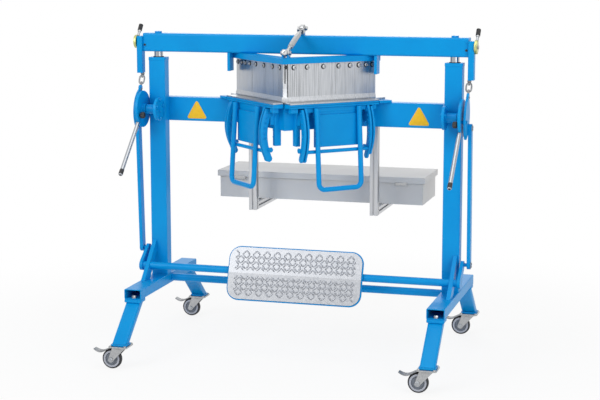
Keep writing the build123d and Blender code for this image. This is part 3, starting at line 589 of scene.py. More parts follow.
for name, side in sides.items():
    wing = f"wing_{name}"
    painted(f"wing_bar_{name}", grooved_bar(side), wing, wing)
    under_bars = [arm_plate(side, along, under_out, (under_bottom, bar_bottom), 2) for along in under_along]
    painted(f"wing_under_bars_{name}", under_bars, wing, wing)
    wear_strip = arm_plate(side, bar_along, (wing_clearance, bar_out), (bar_top, -wing_clearance), 0.8)
    surface(f"wing_wear_strip_{name}", wear_strip, wing, blade_steel, (f"wing_strip_{name}",))
    panel = arm_plate(side, panel_along, panel_out, panel_height)
    painted(f"wing_panel_{name}", [panel, arm_plate(side, panel_along, web_out, web_height)], wing, wing)
    plates = [crescent(side, along, bar_bottom, cheek_tip, **cheek_shape) for along in wing_along]
    painted(f"wing_crescents_{name}", plates, wing, wing)
    tips = zip(guide_along, (cheek_tip, outer_guide_tip))
    plates = [crescent(side, along, guide_top, tip, **cheek_shape) for along, tip in tips]
    painted(f"guide_crescents_{name}", plates, "stand", "bend_guides")
    roots = [arm_plate(side, along, root_out, root_height) for along in guide_along]
    roots.append(arm_plate(side, block_along, block_out, block_height))
    painted(f"guide_roots_{name}", roots, "stand", "bend_guides")
    step = arm_axes(side)[0]
    pin_faces = ((guide_along[0][1], 1), (guide_along[1][0], -1))
    pins = [turned(ring(0, 9, 5, 0.6), arm_point(side, at, stud_out, pin_drop), step * way) for at, way in pin_faces]
    plated(f"guide_pins_{name}", pins, "stand", "bend_guides")

# %% [markdown]
# ## The table under the bend line
# The table is welded of plate: a top plate and two aprons that follow the vee. Each is one section carried along the
# left arm, mitred at the corner and carried along the right arm. The corner is left open between the two wings.

# %% Table plates
table_plate = (-20, -8)
table_inner = -56
apron_sheet = 10
apron_height = (-121, table_plate[0])
table_length = 508
apron_length = 450
tail_gap = 3


def vee_bar(out, height, length, ease=1):
    """A rectangle of out by height with eased corners. At the corner its along value is minus its out value, which
    puts both arms' points at the same place, so the section is mitred there."""
    a, b = sections([(out[1] - out[0]) / 2], [(height[1] - height[0]) / 2], [ease], 2)
    out_at, height_at = np.mean(out) + a[0], np.mean(height) + b[0]
    end_out, end_height = np.mean(out) + 0 * a[0], np.mean(height) + 0 * b[0]
    left = [arm_point(-1, length, end_out, end_height), arm_point(-1, length, out_at, height_at)]
    right = [arm_point(1, length, out_at, height_at), arm_point(1, length, end_out, end_height)]
    return np.stack([*left, arm_point(1, -out_at, out_at, height_at), *right])


aprons = [
    vee_bar((table_face - apron_sheet, table_face), apron_height, apron_length),
    vee_bar((table_inner, table_inner + apron_sheet), apron_height, apron_length),
    vee_bar((table_inner, table_face), table_plate, table_length),
]
painted("table_plates", aprons, "stand", "folding_table")
tail_along = (bar_along[1] + tail_gap, table_length)
tails = [arm_plate(side, tail_along, (table_face, bar_out + 2), table_plate) for side in sides.values()]
painted("table_tails", tails, "stand", "folding_table")

# %% [markdown]
# ## The corner blade
# The narrow blade at the corner has a flat front, a foot that flares to the bend line and a slit with a black screw
# in it. Its plan is a short outline round a centre; rows carry it up and shrink it to the centre at both ends. The
# dark insides of its slits are painted shade: each is a black block set into the flat front.

# %% Corner blade
blade_face_out = -9
blade_back_out = -23
blade_nose = 21
corner_along = 25.4
flat_half = 11
foot_rise = 15
foot_flare = 1.4
slit_length = 84
slit_depth = (-0.3, 3)
slit_margin = 1
blade_base, blade_head = corners["corner_blade"][:, 2]
slit_spans = ((-4, 0.5, blade_head - slit_length), (7.2, 10.8, blade_base + blade_nose))
slit_screw_at = (3, -15)


def upright(outline, centre, rows):
    """A plan outline carried up: each row is (scale about the centre, height)."""
    outline, centre = np.asarray(outline, float), np.asarray(centre, float)
    scale, height = (np.array(values, float)[:, None] for values in zip(*rows))
    x = centre[0] + (outline[None, :, 0] - centre[0]) * scale
    y = centre[1] + (outline[None, :, 1] - centre[1]) * scale
    return np.stack([x, y, height + 0 * x], axis=-1)


front_y = arm_point(1, -blade_face_out, blade_face_out, 0)[1] + flat_half
outer, inner = (arm_point(1, corner_along, out, 0)[:2] for out in (blade_face_out, blade_back_out))
right_plan = np.array([(middle_x + flat_half, front_y), outer, inner])
left_plan = right_plan[::-1] * (-1, 1) + (2 * middle_x, 0)
foot = [(0, blade_base), (foot_flare, blade_base), (foot_flare, blade_base + foot_rise)]
rows = foot + [(1, blade_base + blade_nose), (1, blade_head), (0, blade_head)]
blade = upright(np.concatenate([right_plan, left_plan]), (middle_x, (outer[1] + inner[1]) / 2), rows)
surface("corner_blade_flat", blade, "clamp", blade_steel, ("corner_blade",))
# Each slit is filled with a black block, painted shade of its dark inside.
slit_shade_blocks = []
slit_y = front_y + np.array(slit_depth)
for left, right, low in slit_spans:
    slit_x = middle_x + np.array((left, right))
    outline = [(slit_x[i], slit_y[j]) for i, j in ((0, 0), (1, 0), (1, 1), (0, 1))]
    rows = [(0, low), (1, low), (1, blade_head - slit_margin), (0, blade_head - slit_margin)]
    slit_shade_blocks.append(upright(outline, (slit_x.mean(), slit_y.mean()), rows))
surface("corner_slit_shade", slit_shade_blocks, "clamp", black_oxide_and_shade)
screw_place = (middle_x + slit_screw_at[0], front_y, blade_head + slit_screw_at[1])
surface("slit_screw", turned(cap_head(8, 4, 3), screw_place, (0, -1, 0), 24), "clamp", black_oxide_and_shade)

# %% [markdown]
# ## Bent handles
# A handle is one bar of round steel with two bends. Its path is straight runs joined by quarter-like arcs that touch
# both runs, and the tube round it is a circle carried along that path.

# %% Handles
def bent_path(points, radius, steps=9):
    """Each inner corner becomes an arc: it starts and ends at the radius times the tangent of half the turn from the
    corner, and its points swing from the first normal to the second about the centre."""
    path = [points[0]]
    for before, corner, after in zip(points, points[1:], points[2:]):
        come = (corner - before) / np.linalg.norm(corner - before)
        leave = (after - corner) / np.linalg.norm(after - corner)
        turn = math.acos(float(np.clip(come @ leave, -1, 1)))
        inward = leave - come * math.cos(turn)
        inward /= np.linalg.norm(inward)
        centre = corner - come * radius * math.tan(turn / 2) + inward * radius
        angle = np.linspace(0, turn, steps)[:, None]
        path += list(centre + radius * (np.sin(angle) * come - np.cos(angle) * inward))
    return np.array(path + [points[-1]])


def tube(path, radius, normal, columns=20):
    """Circles square to the path; the path lies in a plane with the given normal. Both ends close in a point."""
    ahead = np.gradient(path, axis=0)
    ahead /= np.linalg.norm(ahead, axis=1, keepdims=True)
    normal = np.asarray(normal, float) / np.linalg.norm(normal)
    aside = np.cross(ahead, normal)
    angle = circle(columns)[..., None]
    grid = path[:, None] + radius * (np.cos(angle) * aside[:, None] + np.sin(angle) * normal)
    first = np.repeat(path[:1, None], columns, axis=1)
    last = np.repeat(path[-1:, None], columns, axis=1)
    return np.concatenate([first, grid, last])


handle_along = (126, 336)
handle_top = (59.3, bar_bottom - 0.3)
handle_foot = (82, -372)
handle_radius = 11
handle_bend = 28
cross_bar_out = 54
cross_bar_drop = -211
cross_bar_radius = 8
cross_bar_gap = 0.3
pad_half = 6
pad_out = (48, 57)
pad_height = (bar_bottom - 30, bar_bottom - 4)
for name, side in sides.items():
    node, wing = f"handle_{name}", f"wing_{name}"
    ends = zip(np.repeat(handle_along, 2), (handle_top, handle_foot, handle_foot, handle_top))
    path = bent_path([arm_point(side, at, *end) for at, end in ends], handle_bend)
    plane = np.cross(path[1] - path[0], arm_axes(side)[0])
    painted(f"bent_handle_{name}", tube(path, handle_radius, plane), wing, node)
    span = np.linspace(wing_along[0][1] + cross_bar_gap, wing_along[1][0] - cross_bar_gap, 5)
    path = arm_point(side, span, cross_bar_out, cross_bar_drop)
    painted(f"cross_bar_{name}", tube(path, cross_bar_radius, up_way), wing, node)
    pads = [arm_plate(side, (at - pad_half, at + pad_half), pad_out, pad_height) for at in handle_along]
    painted(f"handle_pads_{name}", pads, wing)

# %% [markdown]
# ## Cap screws that hold the blades
# Eight socket screws on each side clamp the blade segments against the vee-shaped bar. Each head sits in a counterbore
# whose dark inside is painted shade: a thin black disc under the head, wider than it, with the head moved along the
# blade so that the shade shows on one side. Their places come from the measured heads, which they stand for: the mean
# of each head's lowest and highest corner is its centre.

# %% Blade screws
def loose_parts(node):
    """The points of a node, split into its separate solids by following shared edges."""
    work = bmesh.new()
    work.from_mesh(frame["nodes"][node].data)
    bmesh.ops.remove_doubles(work, verts=work.verts, dist=1e-5)
    seen = set()
    parts = []
    for seed in work.verts:
        if seed.index in seen:
            continue
        stack, points = [seed], []
        seen.add(seed.index)
        while stack:
            vertex = stack.pop()
            points.append(tuple(vertex.co))
            for edge in vertex.link_edges:
                other = edge.other_vert(vertex)
                if other.index not in seen:
                    seen.add(other.index)
                    stack.append(other)
        parts.append(np.array(points) / mm)
    work.free()
    return parts


screw_radius = 9
screw_head = 5
screw_shift = 2.2
shade_disc_radius = 11.5
shade_disc_height = 0.6
heads, counterbore_shade_discs = [], []
for points in loose_parts("blade_screws"):
    centre = (points.max(0) + points.min(0)) / 2
    along, facing = arm_axes(1 if centre[0] > middle_x else -1)
    seat = centre - facing * screw_head / 2
    heads.append(turned(cap_head(screw_radius, screw_head, screw_radius / 2), seat + along * screw_shift, facing))
    # A thin black disc under each head is painted shade of its counterbore; the shift of the head lets it show on one
    # side.
    counterbore_shade_discs.append(turned(ring(0, shade_disc_radius, shade_disc_height, 0.2), seat, facing))
plated("blade_cap_screws", heads, "clamp", "blade_screws")
plated("blade_screw_counterbore_shade", counterbore_shade_discs, "clamp", metal=black_oxide_and_shade)

# %% [markdown]
# ## Seams between the narrow blades
# Next to the corner the blades are narrow, about 10 mm wide, so that any box width can be made up. Their gaps are
# under half a millimetre and each shows as a dark hairline of shade, which is painted here as a thin black strip on
# the ground face.

# %% Blade seams
seam_width = 0.6
seam_depth = 0.25
seam_height = (blade_nose + 2, corners["blades_right"][1, 2] - bend_corner[2] - 1)
seam_places = {1: (36, 46, 56, 66, 77, 87, 98, 113, 174, 258), -1: (36, 46, 56, 66, 113, 180, 196, 309)}


def strip(side, along, out, low, high, wide, deep):
    """A thin upright strip on a blade: a rectangle of wide by deep that runs from low to high."""
    step, outwards = arm_axes(side)
    around = np.array(((-1, 0), (-1, 1), (1, 1), (1, 0)))
    foot = arm_point(side, along, out, low) + around[:, :1] * step * wide / 2 + around[:, 1:] * outwards * deep
    top = foot + up_way * (high - low)
    return np.stack([foot.mean(0) + 0 * foot, foot, top, top.mean(0) + 0 * top])


# Each strip is painted shade: a black strip where the gap between two blades is dark.
seam_shade_strips = [
    strip(side, place, blade_face_out, *seam_height, seam_width, seam_depth)
    for side, places in seam_places.items()
    for place in places
]
surface("blade_seam_painted_shade", seam_shade_strips, "clamp", black_oxide_and_shade)

# %% [markdown]
# ## The tie rod over the corner
# A rod with a hexagonal sleeve, jam nuts and threaded ends holds the corner of the clamp up to the beam. A thread is
# a surface of two parameters: its radius is a triangle wave of the height over the pitch minus the turn round the
# axis. The real pitch of 1.75 mm is under a pixel, so it is drawn at 3 mm.

# %% Threads and the tie rod
def thread(first, last, radius, depth=0.9, pitch=3, columns=20):
    """Rows step a quarter of the pitch; the radius is the crest less depth times a triangle wave. The small number
    keeps a length of whole quarters from losing a row to rounding."""
    length = np.linalg.norm(last - first)
    height = np.linspace(0, length, int(length / pitch * 4 + 0.01) + 2)[:, None]
    angle = circle(columns)
    phase = np.mod(height / pitch - angle / (2 * np.pi), 1)
    reach = radius - depth * np.abs(2 * phase - 1)
    reach[[0, -1]] = 0
    axis, one, two = across(last - first)
    rings = reach[..., None] * (np.cos(angle)[..., None] * one + np.sin(angle)[..., None] * two)
    return first + rings + height[..., None] * axis


eye_radius = 15
fork_radius = 11
tie_radius = 7
sleeve_inset = 70
sleeve_flat = 23
fork_depth = 41
nut_flat = 20
nut_height = 7
nut_gap = 1
ear_disc = ring(0, 15.6, 8.3)
ear_inner = 7.5
lug_disc = ring(0, 16.5, 15.6)
lug_half = 7.8
fork_face = 14.3
ear_face = 15.7
clamp_screw_tilt = math.radians(10)
tie_low, tie_high = corners["tie_rod"]
tie_front = np.array((middle_x, *(tie_low[1:] + eye_radius)))
tie_back = np.array((middle_x, *(tie_high[1:] - fork_radius)))
tie_length = np.linalg.norm(tie_back - tie_front)
tie_way = (tie_back - tie_front) / tie_length
sleeve_ends = (sleeve_inset, tie_length - sleeve_inset)


def on_tie(distance):
    """A point of the tie rod's axis, by its distance from the front eye."""
    return tie_front + tie_way * distance


plated("tie_thread_front", thread(on_tie(eye_radius - 2), on_tie(sleeve_ends[0]), tie_radius), "clamp")
plated("tie_thread_back", thread(on_tie(sleeve_ends[1]), on_tie(tie_length - fork_depth), tie_radius), "clamp")
sleeve = hex_nut(sleeve_flat, sleeve_ends[1] - sleeve_ends[0], tie_radius)
plated("tie_sleeve_hex", turned(sleeve, on_tie(sleeve_inset), tie_way, 48), "clamp")
jam_places = (on_tie(sleeve_ends[0] - nut_height - nut_gap), on_tie(sleeve_ends[1] + nut_gap))
plated("tie_jam_nuts", copies(turned(hex_nut(nut_flat, nut_height, 6), (0, 0, 0), tie_way), jam_places), "clamp")
ears, bolts = [], []
for side in sides.values():
    facing = np.array((side, 0, 0))
    ears.append(turned(ear_disc, tie_front + facing * ear_inner, facing))
    for centre, face in ((tie_back, fork_face), (tie_front, ear_face)):
        bolts.append(turned(hex_head(18, 7), centre + facing * face, facing))
plated("tie_ears", ears, "clamp")
plated("tie_lug", turned(lug_disc, tie_back - (lug_half, 0, 0), (1, 0, 0)), "clamp")
plated("tie_bolt_heads", bolts, "clamp")
facing = np.array((0, -math.cos(clamp_screw_tilt), math.sin(clamp_screw_tilt)))
clamp_screw = turned(cap_head(12, 9, 5.5), tie_front + facing * (eye_radius - 3), facing, 48)
plated("tie_clamp_screw", clamp_screw, "clamp")

# %% [markdown]
# ## Adjusting screws, studs and bolts of the table
# Small painted screws hang under the wing bars, nuts close the studs of the crescent plates, and a row of painted
# bolts runs down the sides of the plates. They are turned heads set in rows in the frame of each arm.

# %% Screws under the wings and on the crescent plates
adjuster = [(0, 14, 0), (2, 14, 0), (3, 11, 0), (3, 6, 0), (4.5, 5, 0), (5.5, 0, 0), (0, 0, 0)]
adjuster_out = 25
adjuster_along = (48, 105, 250, 365, 425)
guide_stud_faces = (guide_along[0][0], guide_along[1][1])
wing_stud_faces = (wing_along[0][1], wing_along[1][0])
stud_nut = hex_nut(21, 7, 6.5)
stud_nut[0] = stud_nut[-1] = (0, 9, 0)
stud_nut[1:1] = [(6.5, 9, 0), (6.5, 7, 0)]
side_bolt_drops = [-45 - 22 * row for row in range(6)]
block_bolt_drops = [-60 - 30 * row for row in range(4)]
small_bolt = cap_head(4.5, 4, 2.2)


def bolt_out(height):
    """The middle line of a crescent: half the width out from the root, plus the bulge times one less the square of
    the share of the height, plus half of what the inner edge has moved out."""
    share = ((bar_bottom + cheek_tip) / 2 - height) / ((bar_bottom - cheek_tip) / 2)
    slant = (cheek_shape["width"] - cheek_shape["tip_width"]) * (share + 1) / 4
    return cheek_shape["root"] + cheek_shape["width"] / 2 + cheek_shape["bulge"] * (1 - share**2) + slant


for name, side in sides.items():
    wing = f"wing_{name}"
    step, outwards = arm_axes(side)
    places = [arm_point(side, place, adjuster_out, under_bottom) for place in adjuster_along]
    painted(f"wing_adjusters_{name}", copies(turned(adjuster, (0, 0, 0), -up_way, 24), places), wing)
    for body, faces, ways in (("stand", guide_stud_faces, (-1, 1)), (wing, wing_stud_faces, (1, -1))):
        nuts = [turned(stud_nut, arm_point(side, at, stud_out, stud_drop), step * way) for at, way in zip(faces, ways)]
        painted(f"{body}_stud_nuts_{name}", nuts, body)
    bolt = turned(small_bolt, (0, 0, 0), -step, 24)
    for label, body, face in (("cheek", wing, wing_stud_faces[1]), ("guide", "stand", guide_stud_faces[0])):
        places = [arm_point(side, face, bolt_out(drop), drop) for drop in side_bolt_drops]
        painted(f"{label}_bolts_{name}", copies(bolt, places), body)
    places = [arm_point(side, np.mean(block_along), block_out[1], drop) for drop in block_bolt_drops]
    painted(f"block_bolts_{name}", copies(turned(small_bolt, (0, 0, 0), outwards, 24), places), "stand")

# %% [markdown]
# ## Side linkages
# On each side a shaft runs through two flange bearings to a crank disc with a lever. The flanges get their screws,
# the lever a moulded cap, the index pin a fluted knob, and every pin a washer and a snap ring.

# %% Flanges, knobs and levers
flange_screw_ring = 40
flange_inset = 32
flange_thickness = 12
flange_screw = hex_head(13, 6)
flange_screw_turns = np.radians((20, 90, 160, 270))
lever_turn = math.radians(43.6)
lever_length = 380
flutes = 12
lever_cap = [(0, 0.5), (5, 0.5), (8.5, -2), (9.8, -5.5), (10, -8.5), (10, -28.5), (9.2, -29.5), (9.2, -22.5)]
knob_side = [(0, 0, 0), (5, 0, 0), (9, 1, 0), (12, 3, 0.3), (14.3, 5, 1), (14.3, 19, 1), (12, 21, 0.4), (7, 22.5, 0)]


def outward(side):
    """The unit vector that points away from the machine's middle on one side."""
    return np.array((side, 0.0, 0.0))


def fluted(profile, centre, axis, count, depth, columns=96):
    """A turned shape whose radius dips by depth times the cosine of count times the angle, where flats is 1."""
    grid = turned([(radius, height, 0) for radius, height, _ in profile], (0, 0, 0), up_way, columns)
    angle = np.arctan2(grid[..., 1], grid[..., 0])
    share = np.array([flats for _, _, flats in profile], float)[:, None]
    dip = share * depth * (1 + np.cos(count * angle)) / 2
    reach = np.maximum(np.hypot(grid[..., 0], grid[..., 1]) - dip, 0)
    axis, one, two = across(axis)
    rings = reach[..., None] * (np.cos(angle)[..., None] * one + np.sin(angle)[..., None] * two)
    return np.asarray(centre, float) + rings + grid[..., 2:] * axis


for name, side in sides.items():
    shaft, out_way, crank = pivot[f"crank_turn_{name}"], outward(side), f"crank_{name}"
    screws = []
    for turn in flange_screw_turns:
        spot = np.array((0, math.cos(turn), math.sin(turn))) * flange_screw_ring
        inner = shaft + spot - out_way * flange_inset
        if turn < flange_screw_turns[-1]:
            screws.append(turned(flange_screw, inner + out_way * flange_thickness, out_way))
        screws.append(turned(flange_screw, inner, -out_way))
    painted(f"bearing_screws_{name}", screws, "stand")
    lever_way = np.array((0, -math.cos(lever_turn), -math.sin(lever_turn)))
    lever_end = np.array((corners[f"lever_{name}"][:, 0].mean(), *shaft[1:])) + lever_way * lever_length
    cap = turned([(*point, 0) for point in lever_cap], lever_end, lever_way, 40)
    surface(f"lever_cap_{name}", cap, crank, black_plastic)
    knob_low, knob_high = corners[f"index_knob_{name}"]
    knob_length = knob_high[0] - knob_low[0]
    knob = knob_side + [(6, knob_length, 0), (0, knob_length, 0)]
    knob = fluted(knob, (knob_low + knob_high) / 2 - out_way * knob_length / 2, out_way, flutes, 1.8)
    surface(f"fluted_knob_{name}", knob, crank, black_plastic, (f"index_knob_{name}",))

# %% [markdown]
# ## Pins, washers and snap rings
# The lower links turn on pins at both ends. A washer lies on the link and a snap ring of spring steel sits in the
# groove at the end of the pin. The ring is open: 22 of its 24 columns are kept, and its grid isn't wrapped round.

# %% Link pins
pin_bore = 7.6
foot_pin = (27, 18)
washer = ring(pin_bore, 14, 2.4)
snap_ring = ring(pin_bore, 10.5, 1.2, 0.2)
for name, side in sides.items():
    link = corners[f"lower_link_{name}"]
    face = link[1, 0] if side > 0 else link[0, 0]
    top_pin = pivot[f"link_swing_{name}"]
    head = np.array((face, *top_pin[1:]))
    foot = np.array((face, top_pin[1] + foot_pin[0], link[0, 2] + foot_pin[1]))
    out_way = outward(side)
    for label, centre, body in (("top", head, "clamp"), ("foot", foot, "treadle")):
        plated(f"link_washer_{label}_{name}", turned(washer, centre + out_way * 0.3, out_way), body)
        snap = turned(snap_ring, centre + out_way * 2.8, out_way, 24)
        surface(f"snap_ring_{label}_{name}", snap[:, :22], body, black_oxide_and_shade, wrap=False)

# %% [markdown]
# ## Dials and grips
# The dials on the upper links are yellow-passivated steel with a knurled rim. A grip is a ribbed sleeve of soft
# black plastic with a bright ferrule where the rod enters. Ribs are a cosine of the height added to the radius.

# %% Dials and grips
dial_thickness = 11
dial_rim = [(26, 0, 0), (28.6, 0, 0), (29.4, 1, 1), (29.4, 10, 1), (28.6, 11, 0), (26, 11, 0), (26, 0, 0)]
knurls = 60
rod_start = 30
grip_radius = 10
grip_bore = 5.3
grip_ribs = 9
rib_height = 0.6
ferrule_length = 9
grip_tip = np.array((0, 52, 66))
grip_reach = np.linalg.norm(grip_tip)
grip_way = grip_tip / grip_reach
grip_at = grip_reach * 0.72
share = np.linspace(0, 1, 61)
taper = np.sqrt(np.clip(1 - np.maximum(0, (share - 0.88) / 0.12) ** 2, 0, 1))
ribbed = (grip_radius - rib_height + rib_height * np.cos(share * 2 * np.pi * grip_ribs)) * taper
grip_side = [(grip_bore, 0, 0)] + [(reach, height, 0) for reach, height in zip(ribbed, share * grip_reach * 0.4)]
grip_side[-1] = (0, grip_reach * 0.4, 0)
for name, side in sides.items():
    dial, out_way, body = pivot[f"dial_turn_{name}"], outward(side), f"dial_{name}"
    rim = fluted(dial_rim, dial, out_way, knurls, 0.9, 240)
    surface(f"dial_rim_{name}", rim, body, yellow_zinc)
    plated(f"dial_bolt_{name}", turned(hex_head(17, 6), dial + out_way * dial_thickness, out_way), body)
    middle = dial + out_way * dial_thickness / 2
    start_at = middle + grip_way * grip_at
    grip = turned(grip_side, start_at, grip_way, 40)
    surface(f"ribbed_grip_{name}", grip, body, black_plastic, (f"grip_{name}",))
    rod = turned(ring(0, 5.9, grip_at - rod_start), middle + grip_way * rod_start, grip_way, 24)
    plated(f"grip_rod_{name}", rod, body, metal=chrome_bar)
    ferrule = turned(ring(5, 7.5, ferrule_length), start_at - grip_way * ferrule_length, grip_way)
    plated(f"grip_ferrule_{name}", ferrule, body)

# %% [markdown]
# ## Wheels
# Each caster wheel is a nylon centre, with a paler band on each face, and a rubber tyre with a crowned tread. All
# are turned shapes about the axle, so a profile of radius and height is enough. A nut closes each end of the axle,
# and a ball race shows between the fork and its plate. The fork is two cheeks and a crown, with a pressed pedal.

# %% Tyres, rims and caster fittings
tyre_side = [(37, -10), (38, -12.2), (39.8, -11.8), (41.8, -10.4), (43.2, -7.4), (43.9, -3)]
rim_hub = [(5.4, -13), (11, -13), (12, -12), (12, -8.5)]
rim_side = rim_hub + [(26, -7.5), (27.5, -9.5), (30.5, -9.5), (31.5, -11), (37, -11)]
rim_band = ring(28.5, 36.5, 1.6)
band_at = 10.2
cheek_face = 21
race_at = 91.7
plate_bolt = (33, 36)
fork_top = corners["caster_plates"][0, 2] - 0.3
fork_crown = 6
crown_half = 29
crown_back = 5
fork_sheet = 3
fork_eye = 14
fork_front, fork_back = 24, -33
pedal_start, pedal_length = -30, 95
pedal_drop, pedal_dip = 4, 11


def mirrored(half):
    """A closed profile from its lower half: the same points again with their heights' signs changed."""
    whole = [(radius, height, 0) for radius, height in half]
    whole += [(radius, -height, 0) for radius, height in reversed(half)]
    return whole + whole[:1]


def fork_cheek(pin, axle, way):
    """A fork cheek in the plane of the wheel: an arc of the eye below, and straight sides up to the crown. The
    outline is carried across the sheet and shrunk to its middle on both faces."""
    swing = np.radians(np.linspace(200, 340, 12))
    eye = np.stack([axle[0] + fork_eye * np.cos(swing), axle[2] + fork_eye * np.sin(swing)], axis=-1)
    top = [(fork_front, fork_top - 5), (fork_front, fork_top), (fork_back, fork_top), (fork_back, fork_top - 5)]
    outline = np.concatenate([eye, np.array(top) + (pin[0], 0)])
    middle = outline.mean(0)
    flat = middle + (outline - middle) * np.array((0, 0.97, 1, 1, 0.97, 0))[:, None, None]
    at = np.array((0, 0, 0.5, fork_sheet - 0.5, fork_sheet, fork_sheet))[:, None]
    y = pin[1] + way * (cheek_face - fork_sheet + at)
    return np.stack([flat[..., 0], y + 0 * flat[..., 0], flat[..., 1]], axis=-1)


def brake_pedal(pin):
    """A pressed pedal: a ribbon that dips by the dip times one less the cosine of its travel, and widens in its
    middle. Its section is a flat rounded rectangle, and its first and last rows close it in a point."""
    travel = np.linspace(0, 1, 25)
    travel[0], travel[-1] = travel[1], travel[-2]
    inside = np.ones(25)
    inside[[0, -1]] = 0
    x = pin[0] + pedal_start - pedal_length * travel
    z = fork_top - pedal_drop - pedal_dip * (1 - np.cos(2 * np.pi * travel / 1.3))
    a, b = sections((15 + 5 * np.sin(np.pi * travel)) * inside, 2.6 * inside, 2.5)
    return np.stack([x[:, None] + 0 * a, pin[1] + a, z[:, None] + b], axis=-1)


def capped(low, high, half_x, half_y, radius, edge=1.5):
    """Rounded rectangles stacked from one centre to another, with eased ends."""
    low, high = np.asarray(low, float), np.asarray(high, float)
    length = np.linalg.norm(high - low)
    wide, deep, at = box_rows(half_x, half_y, length, edge)
    a, b = sections(wide, deep, radius)
    centre = low + (high - low) / length * at[:, None]
    return np.stack([centre[:, :1] + a, centre[:, 1:2] + b, centre[:, 2:] + 0 * a], axis=-1)


for joint in frame["joints"]:
    if joint["name"].startswith("roll_"):
        where = joint["name"].removeprefix("roll_")
        centre, pin = pivot[joint["name"]], pivot[f"swivel_{where}"]
        wheel, fork = joint["child"], f"fork_{where}"
        nodes = (f"caster_wheel_{where}",)
        ways = [np.array((0, way, 0)) for way in (-1, 1)]
        tyre = turned(mirrored(tyre_side), centre, (0, 1, 0), 64)
        surface(f"tyre_{where}", tyre, wheel, tyre_rubber, nodes)
        rim = turned(mirrored(rim_side), centre, (0, 1, 0), 48)
        surface(f"rim_{where}", rim, wheel, rim_nylon, nodes)
        nuts = [turned(hex_head(17, 7), centre + way * cheek_face, way) for way in ways]
        plated(f"axle_nuts_{where}", nuts, fork, metal=chrome_bar)
        bands = [turned(rim_band, centre + way * band_at, way, 48) for way in ways]
        surface(f"rim_bands_{where}", bands, wheel, band_nylon)
        node = f"caster_fork_{where}"
        plated(f"fork_cheeks_{where}", [fork_cheek(pin, centre, way) for way in (-1, 1)], fork, node)
        crown = np.array((pin[0] - crown_back, pin[1], fork_top))
        crown = capped(crown - up_way * fork_crown, crown, crown_half, cheek_face, 5, 1)
        plated(f"fork_crown_{where}", crown, fork, node)
        plated(f"brake_pedal_{where}", brake_pedal(pin), fork, node, metal=dull_zinc)
        plated(f"ball_race_{where}", turned(ring(20, 30.5, 6, 2), (*pin[:2], race_at), up_way, 48), fork)
        seat = np.array((*pin[:2], corners["caster_plates"][1, 2]))
        spots = [seat + (x * plate_bolt[0], y * plate_bolt[1], 0) for x in (-1, 1) for y in (-1, 1)]
        bolts = [turned(hex_head(10, 4.5), spot, up_way, 24) for spot in spots]
        plated(f"plate_bolts_{where}", bolts, "stand")

# %% [markdown]
# ## Stand fittings
# The open ends of the base tubes show a bright bolt that holds the leg. Black wiper rings seal the guide posts
# where they enter the columns, and two small screws lock the ends of the top beam.

# %% Bolts in the base tubes, wiper rings and beam screws
base_wall = 4
bolt_inset = 16
washer_height = 2
beam_screw_inset = 9
beam_screw_rise = 30
washers, bolts, wipers, screws = [], [], [], []
beam_low, beam_high = corners["top_beam"]
column_y = (pivot["swivel_front_left"][1] + pivot["swivel_rear_left"][1]) / 2
column_top = {}
for name, side in sides.items():
    low, high = corners[f"base_{name}"]
    for y in (low[1] + bolt_inset, high[1] - bolt_inset):
        seat = np.array(((low[0] + high[0]) / 2, y, low[2] + base_wall))
        washers.append(turned(ring(4, 12, washer_height), seat, up_way))
        bolts.append(turned(hex_head(17, 10), seat + up_way * washer_height, up_way))
    column_top[name] = np.array((pivot[f"crank_turn_{name}"][0], column_y, corners[f"column_{name}"][1, 2]))
    wipers.append(turned(ring(20.1, 25, 3, 1), column_top[name], up_way, 48))
    screw_x = middle_x + side * ((beam_high[0] - beam_low[0]) / 2 - beam_screw_inset)
    screws.append(turned(cap_head(5, 3, 2.5), (screw_x, beam_low[1], beam_low[2] + beam_screw_rise), (0, -1, 0), 24))
plated("base_washers", washers, "stand")
plated("base_bolts", bolts, "stand")
surface("wiper_rings", wipers, "stand", black_plastic)
plated("beam_end_screws", screws, "clamp", metal=black_oxide_and_shade)

# %% [markdown]
# ## Legs and column caps
# A leg is a square tube with rounded long edges that slopes outwards from a collar under the base to a foot plate on
# the caster. Rounded rectangles are stacked, and the middle of each moves out with its height.

# %% Legs
leg_half_x, leg_half_y = 32, 26
leg_round = 9
collar_over = 6
collar_height = 14
collar_round = 5
foot_over = 4
foot_height = 8
foot_round = 6
lip_half = (np.array((38, 39, 39, 38)), np.array((27, 28, 28, 27)))
lip_drop = np.array((15, 14, 1, 0))
lip_seat = 0.3


def leg_piece(low, high, over, radius):
    """One stage of a leg, wider than the tube by over on every side."""
    return capped(low, high, leg_half_x + over, leg_half_y + over, radius)


for end, way in (("front", -1), ("rear", 1)):
    legs = []
    for name in sides:
        low, high = corners[f"base_{name}"]
        pin = pivot[f"swivel_{end}_{name}"]
        top = np.array((pin[0], (low[1] if way < 0 else high[1]) - way * leg_half_y, low[2]))
        plate = np.array((*pin[:2], corners["caster_plates"][1, 2]))
        foot, collar = plate + up_way * foot_height, top - up_way * collar_height
        legs.append(leg_piece(foot, collar, 0, leg_round))
        legs.append(leg_piece(collar, top, collar_over, collar_round))
        legs.append(leg_piece(plate, foot, foot_over, foot_round))
    painted(f"{end}_tube_legs", legs, "stand", f"{end}_legs")

lips = []
for top in column_top.values():
    a, b = sections(*lip_half, 3)
    lips.append(np.stack([top[0] + a, top[1] + b, top[2] - lip_seat - lip_drop[:, None] + 0 * a], axis=-1))
painted("column_lips", lips, "stand")

# %% [markdown]
# ## Turnbuckles
# Between the toggle plates and the upper links hangs a turnbuckle: an open ring of dull steel with a threaded eye
# at each end. The ring is a circle carried round a rounded loop, and its two ends are balls on short rods.

# %% Turnbuckles
turnbuckle_x = 743.6
turnbuckle_low = (25, 4)
turnbuckle_high = 56
loop_share = 0.58
loop_half = (11.5, 19)
loop_wire = 3.6
rod_radius = 4.5
rod_inset = 10


